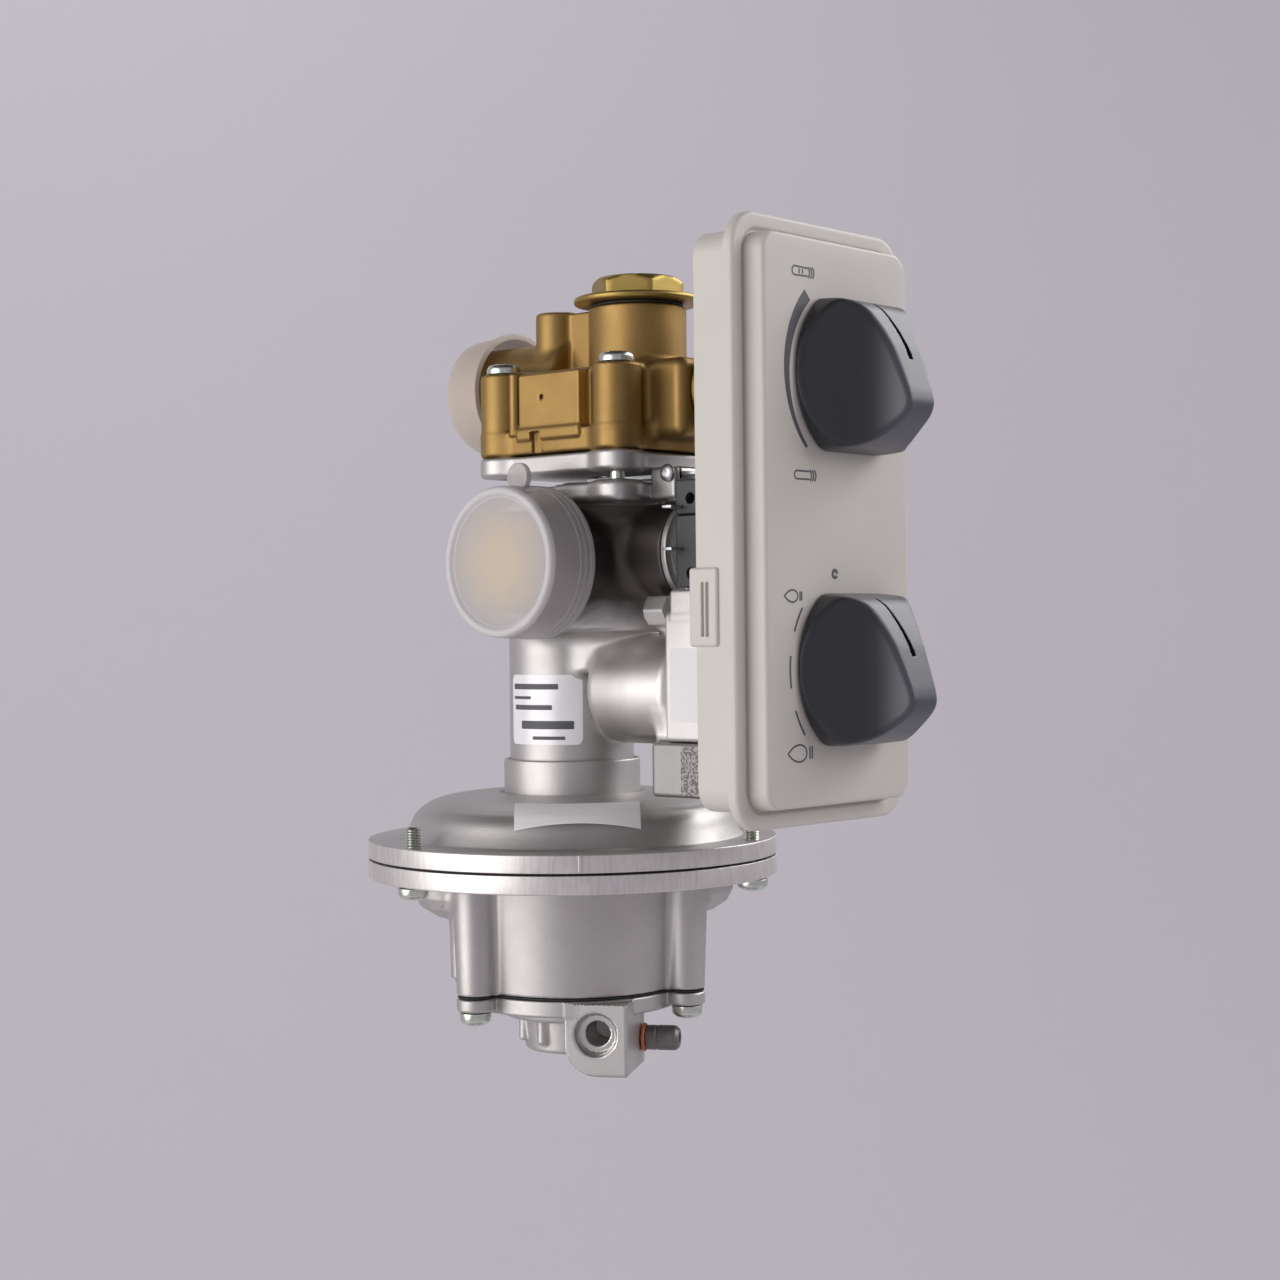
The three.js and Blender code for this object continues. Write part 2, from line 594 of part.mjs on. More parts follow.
function addWaterSection() {
  const water = new THREE.Group();
  valve.add(water);
  place('water_body', waterBody(), brass, water);
  place('diaphragm_cover', diaphragmCover(), castAlu, water);
  place('water_diaphragm', ring(2.3, 19.5, 163.6, 163.9, 36, 0, waterY), rubber, water);
  place('diaphragm_plate', ring(1.9, 15.5, 164.3, 166, 32, 0, waterY), brass, water);
  const rod = join(
    bar(1.6, [0, waterY, 126], [0, waterY, 168], 8),
    bar(3.2, [0, waterY, slotTop + 0.1], [0, waterY, slotTop + 2], 12),
    bar(3, [0, waterY, 166.3], [0, waterY, 167.2], 12),
  );
  place('push_rod', rod, steel, water);
  corners.forEach(([x, y], i) => {
    // The front screws reach the gas body's flange and the rear ones end in the cover.
    const reach = frontCorners.includes(corners[i]) ? 151.1 : slotTop + 0.4;
    const screw = join(
      turned([[0, 0], [4.6, 0], [4.6, 1.6], [3.4, 2.6], [0, 2.6]], 16),
      bar(1.9, [0, 0, reach - brassTop - gap], [0, 0, 0.5], 8),
    );
    place(`water_screw_${i + 1}`, screw, zinc, water).position.set(x, y, brassTop + gap);
  });
  place('filter_seal', ring(9.7, 12.2, filterTop + 0.2, filterTop + 0.7, 28, 0, filterY), rubber, water);
  const plug = join(
    bar(17.2, [0, filterY, filterTop + 1], [0, filterY, filterTop + 2.8], 16),
    raised(hexagon(22, 0, filterY), filterTop + 2, 210.9),
    bar(9.2, [0, filterY, 198.8], [0, filterY, filterTop + 2], 16),
  );
  place('filter_plug', plug, brass, water);
  place('water_filter', ring(8.3, 9.1, 177, 198.4, 24, 0, filterY), steel, water);
  const cap = cut(
    bar(16, [0, 19, waterPortZ], [0, 32.6, waterPortZ], 32, 16.8),
    bar(14.6, [0, 18, waterPortZ], [0, 31, waterPortZ], 32),
  );
  place('water_cap', cap, milky, water);

  place('selector_spindle', bar(2.6, [knobX, -44.8, selectorZ], [knobX, knobBase - 12, selectorZ], 12), brass, water);
  place('flow_cone', bar(1.5, [knobX, -37, selectorZ], [knobX, -44.5, selectorZ], 12, 4.5), brass, water);
  const oring = cut(
    bar(4.7, [knobX, -46.5, selectorZ], [knobX, -48.3, selectorZ], 16),
    bar(2.9, [knobX, -40, selectorZ], [knobX, -50, selectorZ], 12),
  );
  place('selector_seal', oring, rubber, water);
  const nutShape = new THREE.ExtrudeGeometry(hexagon(19), { depth: 4.5, bevelEnabled: false });
  nutShape.rotateX(Math.PI / 2);
  nutShape.translate(knobX, -54, selectorZ);
  const gland = cut(
    join(
      bar(11.5, [knobX, -51.3, selectorZ], [knobX, -54.2, selectorZ], 16),
      solid(nutShape),
      bar(4.7, [knobX, -48.6, selectorZ], [knobX, -52, selectorZ], 16),
    ),
    bar(3, [knobX, -45, selectorZ], [knobX, -62, selectorZ], 12),
  );
  place('selector_gland_nut', gland, brass, water);
}

// ---------------------------------------------------------------- control panel

function panelShell() {
  const width = panelRight - panelLeft;
  const mid = (panelLeft + panelRight) / 2;
  const at = (w, h, r) => roundedRect(w, h, r, mid, panelMid);
  const outside = join(
    pushed(at(width, panelHeight, 9), panelRim, rimBack),
    pushed(at(width, panelHeight - 9, 6), rimBack - 0.6, panelBack),
    pushed(at(width - 9.6, panelHeight - 10, 5), panelFront, panelRim + 1),
  );
  const clip = box([panelLeft - 0.9, -82.6, 113], [panelLeft + 4, -73.8, 132]);
  const hollow = join(
    pushed(at(width - 4, panelHeight - 13, 4.5), panelRim + 2, panelBack + 2),
    pushed(at(width - 13.6, panelHeight - 14, 3.5), panelFront + 2, panelRim + 4),
  );
  const slot = box([panelLeft - 2, -80, 115.5], [panelLeft + 6, -77.8, 128.5]);
  return cut(
    join(cut(outside, hollow), clip),
    slot,
    bar(4.5, [knobX, -85, selectorZ], [knobX, -100, selectorZ], 16),
    bar(4.5, [knobX, -85, powerZ], [knobX, -100, powerZ], 16),
  );
}

// Wedge-shaped knob about its own axis: x across, z along the grip, y towards the panel.
function knobSolid() {
  const base = bar(knobR, [0, 0, 0], [0, -26, 0], 32);
  const across = raised(polygon([
    [-knobR, 1], [-knobR, -1.6], [-17, -4.6], [-10.6, -9.5], [-6.6, -17], [-5, -25], [5, -25], [6.6, -17],
    [10.6, -9.5], [17, -4.6], [knobR, -1.6], [knobR, 1],
  ]), -20, 20);
  const side = new THREE.ExtrudeGeometry(polygon([
    [-knobHalf, -1], [-18.7, 6], [-17.3, 11.5], [-12.5, 18.6], [-10.4, 20.9], [-8, 21.9], [-5, 21.2],
    [5.7, 17.2], [14.5, 12], [16.3, 10.4], [18.2, 7], [18.9, 3.5], [knobHalf, -1],
  ]), { depth: 60, bevelEnabled: false });
  side.applyMatrix4(new THREE.Matrix4().makeBasis(
    new THREE.Vector3(0, 0, 1), new THREE.Vector3(0, -1, 0), new THREE.Vector3(1, 0, 0)));
  side.translate(-30, 0, 0);
  return cut(
    base.intersect(across).intersect(solid(side)),
    bar(3.4, [0, 1, 0], [0, -12.5, 0], 12),
  );
}

function addPanel() {
  const panel = new THREE.Group();
  valve.add(panel);
  place('control_panel', panelShell(), ivory, panel);
  const plate = cut(
    box([-27, -76.2, 76], [25, -74.9, 204]),
    bar(6, [knobX, -70, selectorZ], [knobX, -80, selectorZ], 16),
    bar(6, [knobX, -70, powerZ], [knobX, -80, powerZ], 16),
    bar(2.3, [-4, -70, 81.2], [-4, -80, 81.2], 8),
    bar(2.3, [14, -70, 122], [14, -80, 122], 8),
  );
  place('panel_bracket', plate, steel, panel);
  const screw = join(
    bar(3.6, [0, 0, 0], [0, -2.2, 0], 12),
    bar(1.7, [0, 7, 0], [0, -1, 0], 8),
  );
  [[-4, 81.2], [14, 122]].forEach(([x, z], i) => {
    place(`bracket_screw_${i + 1}`, screw, zinc, panel).position.set(x, -76.5, z);
  });
  const knob = knobSolid();
  place('selector_knob', knob, slate, panel).position.set(knobX, knobBase, selectorZ);
  place('power_knob', knob, slate, panel).position.set(knobX, knobBase, powerZ);
}

addRegulator();
addGasSection();
addSwitch();
addWaterSection();
addPanel();

export default valve;
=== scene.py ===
"""Gas and water valve of an instantaneous water heater: its visible pieces, finishes, stage and camera.

All lengths below are millimetres in the assembly's own heights, in which the port block's underside is 0.
The frame's origin lies DATUM above it, so make_mesh() lowers every point by DATUM and turns it into metres.
"""

import math

import bmesh
import bpy
import numpy as np
from mathutils import Matrix, Vector


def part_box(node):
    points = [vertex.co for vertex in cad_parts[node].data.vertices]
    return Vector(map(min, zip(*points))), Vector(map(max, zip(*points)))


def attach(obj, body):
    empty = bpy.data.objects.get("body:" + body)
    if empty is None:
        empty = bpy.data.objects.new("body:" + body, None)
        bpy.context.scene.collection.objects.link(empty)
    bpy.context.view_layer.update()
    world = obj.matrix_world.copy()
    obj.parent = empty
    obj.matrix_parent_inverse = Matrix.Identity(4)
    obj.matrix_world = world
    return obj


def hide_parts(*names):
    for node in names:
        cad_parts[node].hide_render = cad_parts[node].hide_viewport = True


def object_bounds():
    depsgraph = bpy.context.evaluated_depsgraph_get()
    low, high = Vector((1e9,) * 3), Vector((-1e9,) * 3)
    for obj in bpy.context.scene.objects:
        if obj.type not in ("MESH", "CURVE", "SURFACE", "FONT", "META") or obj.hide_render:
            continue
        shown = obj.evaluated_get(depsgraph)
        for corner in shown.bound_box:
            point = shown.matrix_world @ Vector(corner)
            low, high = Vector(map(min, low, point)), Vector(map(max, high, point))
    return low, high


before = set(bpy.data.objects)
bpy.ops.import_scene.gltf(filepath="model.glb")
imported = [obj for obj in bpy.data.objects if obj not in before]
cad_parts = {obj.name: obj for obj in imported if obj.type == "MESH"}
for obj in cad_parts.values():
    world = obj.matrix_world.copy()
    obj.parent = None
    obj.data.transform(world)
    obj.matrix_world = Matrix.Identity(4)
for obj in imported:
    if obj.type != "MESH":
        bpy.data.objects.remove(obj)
packed_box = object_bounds()

bl_info = {
    "name": "Water heater gas valve",
    "version": (1, 0, 0),
    "blender": (4, 5, 0),
    "location": "View3D > Sidebar > Valve",
    "description": "Builds the visible pieces of a gas and water valve around its packed frame",
    "category": "Object",
}

MM = 0.001
X, Y, Z = np.eye(3)


def extent(node):
    """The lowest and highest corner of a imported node, in millimetres, in the frame's own heights."""
    low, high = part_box(node)
    return np.array(low) / MM, np.array(high) / MM


DATUM = -extent("bottom_cover")[0][2]

SCREW_ANGLES = (170, 290, 50)
BOLT_CIRCLE = 52.0
COVER_CIRCLE = 33.0
PORT_TURN = 210.0
CUP_TURN = 230.0
WATER_Y = -15.0
CORNERS = [(sx * 20.0, WATER_Y - 0.5 + sy * 20.5) for sx in (-1, 1) for sy in (-1, 1)]
FRONT_CORNERS = [(x, y) for x, y in CORNERS if y < WATER_Y]
KNOB_X = 3.0
KNOB_SEAT = -93.5
SELECTOR_Z = 179.3
POWER_Z = 107.1
BARREL_Z = 137.5
OUTLET_Z = 135.0
TAP_Z = 101.3
PORT_Z = 183.3
FILTER_Y = -25.8
PIN_Y, PIN_Z = -46.5, 157.55
NUT_X, NUT_Z = -11.0, 122.2
POST_X, POST_Z = 14.0, 122.0
PANEL_MID = np.array([-1.5, 143.0])
PANEL_FRONT = -93.0
OUTLET_AXIS = (0, WATER_Y, OUTLET_Z)
SELECTOR_AXIS = (KNOB_X, 0, SELECTOR_Z)
FILTER_AXIS = (0, FILTER_Y, 0)


# ---------------------------------------------------------------- meshes


def rounded(rows, steps=5):
    """A chain of points with its corners rounded. Each row ends with how far from the corner the
    rounding starts; between those two places the chain follows a quadratic curve that has the corner
    as its control point."""
    rows = np.array(rows, float)
    points, reach = rows[:, :-1], rows[:, -1]
    out = [points[0]]
    t = np.linspace(0, 1, steps + 1)[:, None]
    for before, corner, after, k in zip(points[:-2], points[1:-1], points[2:], reach[1:-1]):
        if k <= 0:
            out.append(corner)
            continue
        back, on = before - corner, after - corner
        lengths = np.linalg.norm(back), np.linalg.norm(on)
        a = corner + back * min(k / max(lengths[0], 1e-9), 0.5)
        b = corner + on * min(k / max(lengths[1], 1e-9), 0.5)
        out.extend((1 - t) ** 2 * a + 2 * t * (1 - t) * corner + t**2 * b)
    out.append(points[-1])
    return np.array(out)


def basis(axis):
    """Two unit vectors square to the axis and to each other, and the axis itself."""
    axis = np.asarray(axis, float) / np.linalg.norm(axis)
    helper = X if abs(axis[0]) < 0.9 else Y
    first = np.cross(helper, axis)
    first /= np.linalg.norm(first)
    return first, np.cross(axis, first), axis


class Shape:
    """The patches of one piece, gathered as arrays before they become a mesh."""

    def __init__(self):
        self.points, self.faces, self.finishes, self.count = [], [], [], 0

    def add(self, points, faces, finish=0):
        points = np.asarray(points, float).reshape(-1, 3)
        self.points.append(points)
        self.faces.extend((np.asarray(f) + self.count).tolist() for f in faces)
        self.finishes.extend([finish] * len(faces) if np.isscalar(finish) else list(finish))
        self.count += len(points)
        return self

    def grid(self, points, around=True, loop=False, start=None, end=None, finish=0):
        """A grid of points joined by quads. around joins the last column to the first, loop the last
        row to the first, and start and end are the points that close the first and the last row.
        finish is one material number, or one for each band between two rows."""
        rows, columns = points.shape[:2]
        number = np.arange(rows * columns).reshape(rows, columns)
        if around:
            number = np.concatenate([number, number[:, :1]], 1)
        if loop:
            number = np.concatenate([number, number[:1]], 0)
        quads = np.stack([number[:-1, :-1], number[:-1, 1:], number[1:, 1:], number[1:, :-1]], -1)
        bands, width = quads.shape[:2]
        bands_finish = np.broadcast_to(finish, (bands,))
        faces = list(quads.reshape(-1, 4))
        finishes = list(np.repeat(bands_finish, width))
        cloud = points.reshape(-1, 3)
        for pole, row in ((start, 0), (end, -1)):
            if pole is not None:
                ring = number[row]
                tip = np.full(len(ring) - 1, len(cloud))
                faces.extend(np.stack([tip, ring[:-1], ring[1:]], -1))
                finishes.extend([bands_finish[row]] * len(tip))
                cloud = np.concatenate([cloud, [pole]])
        return self.add(cloud, faces, finishes)

    def turn(self, rows, centre=(0, 0, 0), axis=Z, steps=96, ring=False, finish=0, corner=5):
        """A profile of (radius, distance along the axis, rounding) turned about the axis through
        centre: point = centre + axis * distance + radius * (cos a * first + sin a * second). A profile
        that begins or ends on the axis is closed there by one point; ring joins its two ends."""
        first, second, along = basis(axis)
        profile = rounded(list(rows) + [rows[0]], corner)[:-1] if ring else rounded(rows, corner)
        a = np.linspace(0, 2 * np.pi, steps, endpoint=False)
        spoke = np.cos(a)[:, None] * first + np.sin(a)[:, None] * second
        centre = np.asarray(centre, float)
        poles = [None, None]
        if not ring:
            for i, row in ((0, profile[0]), (1, profile[-1])):
                if row[0] < 1e-6:
                    poles[i] = centre + along * row[1]
            profile = profile[(1 if poles[0] is not None else 0) : (-1 if poles[1] is not None else None)]
        points = centre + profile[:, 1, None, None] * along + profile[:, 0, None, None] * spoke
        if callable(finish):
            middle = (profile + np.roll(profile, -1, 0)) / 2 if ring else (profile[1:] + profile[:-1]) / 2
            finish = [finish(r, t) for r, t in middle]
        return self.grid(points, True, ring, poles[0], poles[1], finish)

    def loft(self, rows, centre, across, up, along, corner=5, finish=0, ring_steps=8):
        """Rounded rectangles stacked along an axis. Each row is (half width, half height, corner
        radius, distance along, rounding of the edge at that row)."""
        profile = rounded(rows, corner)
        outlines = rectangle(profile[:, 0], profile[:, 1], profile[:, 2], ring_steps)
        centre = np.asarray(centre, float)
        points = (
            centre
            + outlines[..., :1] * np.asarray(across, float)
            + outlines[..., 1:] * np.asarray(up, float)
            + profile[:, 3, None, None] * np.asarray(along, float)
        )
        ends = [centre + np.asarray(along, float) * profile[i, 3] for i in (0, -1)]
        return self.grid(points, True, False, ends[0], ends[1], finish)

    def brick(self, low, high, k=0.6, finish=0):
        """A block with every edge rounded by k."""
        low, high = np.array(low, float), np.array(high, float)
        half, mid = (high - low) / 2, (high + low) / 2
        rows = [
            (half[0] - k, half[1] - k, max(k * 0.3, 0.01), -half[2], 0),
            (half[0], half[1], k, -half[2], k),
            (half[0], half[1], k, half[2], k),
            (half[0] - k, half[1] - k, max(k * 0.3, 0.01), half[2], 0),
        ]
        return self.loft(rows, mid, X, Y, Z, 4, finish, 5)

    def sides(self, flats, across, low, high, centre, axis=Z, bore=0.0):
        """A nut or bolt head with so many flats: its radius is the smaller of the polygon,
        across / 2 / cos(angle from the middle of the flat), and a cone that falls away at the top,
        and the smaller one wins through a soft minimum."""
        first, second, along = basis(axis)
        a = np.linspace(0, 2 * np.pi, flats * 14, endpoint=False)
        step = 2 * np.pi / flats
        off = np.abs((a + step / 2) % step - step / 2)
        polygon = across / 2 / np.cos(off)
        corner = across / 2 / np.cos(np.pi / flats)
        polygon = soft_min(polygon, corner * 0.985, 0.25)
        t = np.array([0, 0.001, 0.1, 0.25, 0.45, 0.6, 0.72, 0.84, 0.93, 1.0])
        height = low + (high - low) * t
        cone = across / 2 * 0.965 + (high - height) / np.tan(np.radians(35))
        radius = soft_min(polygon[None, :], cone[:, None], 0.12)
        spoke = np.cos(a)[:, None] * first + np.sin(a)[:, None] * second
        centre = np.asarray(centre, float)
        points = centre + height[:, None, None] * along + radius[..., None] * spoke
        if bore:
            inner = np.full(2, bore)[:, None, None] * spoke + centre
            ends = np.array([high, low])[:, None, None] * along
            return self.grid(np.concatenate([points, inner + ends]), True, True)
        return self.grid(points, True, False, centre + along * low, centre + along * high)

    def cast(self, field, low, high, cell, finish=0):
        """The zero surface of a distance field, found on a regular lattice: one point in every cell
        that the surface crosses, at the mean of the crossings on the cell's edges, and one quad for
        every lattice edge that changes sign, joining the four cells round it. The points then slide
        along the field's gradient onto the surface."""
        low, high = np.asarray(low, float) - 1.5 * cell, np.asarray(high, float) + 1.5 * cell
        axes = [np.arange(a, b + cell, cell) for a, b in zip(low, high)]
        values = field([axes[0][:, None, None], axes[1][None, :, None], axes[2][None, None, :]])
        values = np.broadcast_to(values, [len(a) for a in axes]).astype(np.float32)
        inside = values < 0
        size = np.array(values.shape)
        cells, spots, flips = [], [], []
        for k in range(3):
            other = [(k + 1) % 3, (k + 2) % 3]
            near = [slice(None)] * 3
            far = [slice(None)] * 3
            near[k], far[k] = slice(0, -1), slice(1, None)
            index = np.argwhere(inside[tuple(near)] != inside[tuple(far)])
            keep = np.ones(len(index), bool)
            for o in other:
                keep &= (index[:, o] > 0) & (index[:, o] < size[o] - 1)
            index = index[keep]
            step = np.zeros(3, int)
            step[k] = 1
            v0 = values[tuple(index.T)].astype(float)
            v1 = values[tuple((index + step).T)].astype(float)
            at = index.astype(float)
            at[:, k] += v0 / (v0 - v1)
            quad = np.repeat(index[:, None, :], 4, 1)
            for corner, (da, db) in enumerate(((1, 1), (0, 1), (0, 0), (1, 0))):
                quad[:, corner, other[0]] -= da
                quad[:, corner, other[1]] -= db
            cells.append(quad)
            spots.append(at)
            flips.append(v0 > 0)
        quads = np.concatenate(cells)
        spots = np.concatenate(spots)
        flips = np.concatenate(flips)
        number = np.ravel_multi_index(tuple(quads.reshape(-1, 3).T), values.shape)
        unique, inverse = np.unique(number, return_inverse=True)
        inverse = inverse.reshape(-1)
        count = np.bincount(inverse).astype(float)
        repeated = np.repeat(spots, 4, 0)
        points = np.stack([np.bincount(inverse, repeated[:, c]) / count for c in range(3)], -1)
        points = low + points * cell
        faces = inverse.reshape(-1, 4)
        faces[flips] = faces[flips][:, ::-1]
        for _ in range(3):
            slope = gradient(field, points)
            value = field(list(points.T))
            square = np.maximum((slope**2).sum(1), 0.2)
            points -= np.clip(value / square, -0.6 * cell, 0.6 * cell)[:, None] * slope
        chosen = finish(points[faces].mean(1)) if callable(finish) else finish
        return self.add(points, list(faces), chosen)


def gradient(field, points, reach=0.04):
    """The slope of a field at each point, from the difference of its values reach before and after."""
    out = np.empty_like(points)
    for k in range(3):
        step = np.zeros(3)
        step[k] = reach
        out[:, k] = (field(list((points + step).T)) - field(list((points - step).T))) / (2 * reach)
    return out


def rectangle(width, height, radius, steps=8):
    """Outlines of rounded rectangles: four quarter circles whose centres stand in from the corners
    by the radius. The three sizes are arrays, and the result has one outline for each of them."""
    width, height, radius = (np.asarray(v, float)[:, None] for v in (width, height, radius))
    quarter = np.linspace(0, np.pi / 2, steps + 1)[None, :]
    xs, ys = [], []
    for sx, sy, start in ((1, 1, 0), (-1, 1, 1), (-1, -1, 2), (1, -1, 3)):
        a = quarter + start * np.pi / 2
        xs.append(sx * (width - radius) + radius * np.cos(a))
        ys.append(sy * (height - radius) + radius * np.sin(a))
    return np.stack([np.concatenate(xs, 1), np.concatenate(ys, 1)], -1)


def make_mesh(name, shape, body, finishes, slot=None, replaces=(), sharp=38, field=None, recalculate=True):
    """Turns a shape into an object that rides on a body. A cast piece takes its normals from its field."""
    points = np.concatenate(shape.points)
    mesh = bpy.data.meshes.new(name)
    mesh.from_pydata(((points - [0, 0, DATUM]) * MM).tolist(), [], shape.faces)
    if recalculate:
        work = bmesh.new()
        work.from_mesh(mesh)
        bmesh.ops.recalc_face_normals(work, faces=work.faces)
        work.to_mesh(mesh)
        work.free()
    for finish in finishes if isinstance(finishes, (list, tuple)) else [finishes]:
        mesh.materials.append(finish)
    mesh.polygons.foreach_set("material_index", np.array(shape.finishes, np.int32))
    mesh.shade_smooth()
    if field is None:
        mesh.set_sharp_from_angle(angle=math.radians(sharp))
    else:
        slope = gradient(field, points)
        slope /= np.maximum(np.linalg.norm(slope, axis=1), 1e-6)[:, None]
        mesh.normals_split_custom_set_from_vertices(slope.tolist())
    mesh.update()
    piece = bpy.data.objects.new(name, mesh)
    bpy.context.scene.collection.objects.link(piece)
    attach(piece, body)
    if replaces:
        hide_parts(*replaces)
    return piece


# ---------------------------------------------------------------- distance fields


def soft_min(a, b, k):
    """The smaller of a and b, with the crease between them filled over a width of k."""
    h = np.maximum(k - np.abs(a - b), 0) / k
    return np.minimum(a, b) - h * h * k / 4


def soft_max(a, b, k):
    return -soft_min(-a, -b, k)


def weld(k, first, *others):
    """Joins fields, with fillets of about k in the corners between them."""
    for other in others:
        first = soft_min(first, other, k)
    return first


def carve(k, first, *tools):
    """Takes the tools out of a field, and breaks the edges by about k."""
    for tool in tools:
        first = soft_max(first, -tool, k)
    return first


def edge(a, b, k):
    """The inside of two walls that meet in an edge of radius k."""
    a, b = a + k, b + k
    return np.minimum(np.maximum(a, b), 0) + np.hypot(np.maximum(a, 0), np.maximum(b, 0)) - k


def rod(p, start, end, r, end_r=None, k=0.6):
    """A round bar or cone: distance from the axis less the radius, and distance past the ends."""
    start, end = np.array(start, float), np.array(end, float)
    length = np.linalg.norm(end - start)
    along = (end - start) / length
    t = sum((p[i] - start[i]) * along[i] for i in range(3))
    square = sum((p[i] - start[i]) ** 2 for i in range(3)) - t * t
    radius = r if end_r is None else r + (end_r - r) * np.clip(t / length, 0, 1)
    return edge(np.sqrt(np.maximum(square, 0)) - radius, np.abs(t - length / 2) - length / 2, k)


def block(p, low, high, k=0.8):
    """A block with rounded edges: the distance from its walls, each drawn in by k, less k."""
    q = [np.abs(p[i] - (low[i] + high[i]) / 2) - (high[i] - low[i]) / 2 + k for i in range(3)]
    outer = np.sqrt(sum(np.maximum(v, 0) ** 2 for v in q))
    return outer + np.minimum(np.maximum(np.maximum(q[0], q[1]), q[2]), 0) - k


def spun(p, heights, radii, low, high, k=0.5):
    """A turned body: distance from the axis less a radius read from a table of heights."""
    q = np.hypot(p[0], p[1])
    radius = np.interp(p[2], heights, radii)
    slope = np.interp(p[2], heights, np.gradient(radii, heights))
    return edge((q - radius) / np.sqrt(1 + slope**2), np.abs(p[2] - (low + high) / 2) - (high - low) / 2, k)


def swing(p, degrees):
    """The same points as seen from a frame turned about the vertical axis."""
    a = math.radians(degrees)
    return [p[0] * math.cos(a) + p[1] * math.sin(a), p[1] * math.cos(a) - p[0] * math.sin(a), p[2]]


def polar(radius, degrees):
    return radius * math.cos(math.radians(degrees)), radius * math.sin(math.radians(degrees))


# ---------------------------------------------------------------- finishes


class Value:
    """An output socket that can be used in ordinary arithmetic."""

    def __init__(self, finish, socket):
        self.finish, self.socket = finish, socket

    def _with(self, operation, first, second):
        return self.finish.node("ShaderNodeMath", {"operation": operation}, {0: first, 1: second})

    def __add__(self, other):
        return self._with("ADD", self, other)

    def __sub__(self, other):
        return self._with("SUBTRACT", self, other)

    def __rsub__(self, other):
        return self._with("SUBTRACT", other, self)

    def __mul__(self, other):
        return self._with("MULTIPLY", self, other)

    def __truediv__(self, other):
        return self._with("DIVIDE", self, other)

    def __pow__(self, other):
        return self._with("POWER", self, other)

    __radd__ = __add__
    __rmul__ = __mul__


class Finish:
    """A material whose pattern is worked out in the piece's own coordinates, in metres."""

    def __init__(self, name, **constants):
        self.material = bpy.data.materials.new(name)
        self.material.use_nodes = True
        self.tree = self.material.node_tree
        self.shader = next(n for n in self.tree.nodes if n.type == "BSDF_PRINCIPLED")
        for label, value in constants.items():
            self.shader.inputs[label.replace("_", " ").title().replace("Ior", "IOR")].default_value = value
        self.place = self.node("ShaderNodeTexCoord", out="Object")

    def node(self, kind, settings=None, links=None, out=0):
        """Adds a node, sets it, fills its sockets with numbers or links, and returns one output."""
        node = self.tree.nodes.new(kind)
        for label, value in (settings or {}).items():
            if label == "stops":
                while len(node.color_ramp.elements) < len(value):
                    node.color_ramp.elements.new(0.5)
                for stop, (position, colour) in zip(node.color_ramp.elements, value):
                    stop.position, stop.color = position, colour
            else:
                setattr(node, label, value)
        for label, value in (links or {}).items():
            if isinstance(value, Value):
                self.tree.links.new(value.socket, node.inputs[label])
            else:
                node.inputs[label].default_value = value
        return Value(self, node.outputs[out])

    def noise(self, size, detail=3.0, rough=0.55, stretch=(1, 1, 1), where=None):
        """Noise whose blotches are about size millimetres across."""
        place = where or self.place
        place = self.node("ShaderNodeMapping", {"vector_type": "POINT"}, {"Vector": place, "Scale": stretch})
        links = {"Vector": place, "Scale": 1 / (size * MM), "Detail": detail, "Roughness": rough}
        return self.node("ShaderNodeTexNoise", {"noise_dimensions": "3D"}, links)

    def ramp(self, value, low, high):
        """value moved so that low becomes 0 and high becomes 1, held between them."""
        links = {"Value": value, "From Min": low, "From Max": high}
        return self.node("ShaderNodeMapRange", {"clamp": True}, links)

    def mix(self, factor, first, second):
        """A colour between two colours."""
        node = self.tree.nodes.new("ShaderNodeMix")
        node.data_type = "RGBA"
        for socket, value in ((node.inputs[0], factor), (node.inputs[6], first), (node.inputs[7], second)):
            if isinstance(value, Value):
                self.tree.links.new(value.socket, socket)
            else:
                socket.default_value = value
        return Value(self, node.outputs[2])

    def axes(self):
        """The three coordinates as separate values."""
        split = self.tree.nodes.new("ShaderNodeSeparateXYZ")
        self.tree.links.new(self.place.socket, split.inputs[0])
        return [Value(self, split.outputs[i]) for i in range(3)]

    def join(self, x, y, z):
        return self.node("ShaderNodeCombineXYZ", None, {0: x, 1: y, 2: z})

    def set(self, label, value):
        self.tree.links.new(value.socket, self.shader.inputs[label])
        return self

    def relief(self, height, depth, strength=1.0):
        """Bump of a height of 0 to 1 that stands for so many millimetres."""
        links = {"Height": height, "Distance": depth * MM, "Strength": strength}
        return self.set("Normal", self.node("ShaderNodeBump", None, links, "Normal"))


def rgba(colour, factor=1.0):
    return tuple(c * factor for c in colour[:3]) + (1.0,)


FINISHES = {}


def cast_metal(name, colour, rough, grain=0.45, stain=0.18):
    """Blasted casting: two sizes of fine grain in the relief, cloudy roughness, and darker patches
    where handling and oxide have dulled it."""
    f = Finish(name, metallic=0.92, roughness=rough)
    fine, coarse, cloud = f.noise(grain, 2), f.noise(grain * 4, 3), f.noise(14, 4)
    blotch = f.ramp(cloud, 0.35, 0.7)
    speck = f.ramp(f.noise(1.1, 2), 0.64, 0.74)
    tone = f.mix(blotch * stain + speck * 0.10, rgba(colour), rgba(colour, 0.55))
    f.set("Base Color", f.mix(f.ramp(coarse, 0.3, 0.7) * 0.10, tone, rgba(colour, 1.18)))
    f.set("Roughness", rough - 0.07 + 0.10 * cloud + 0.08 * coarse)
    f.relief(fine * 0.6 + coarse * 0.4, 0.10, 0.55)
    return f.material


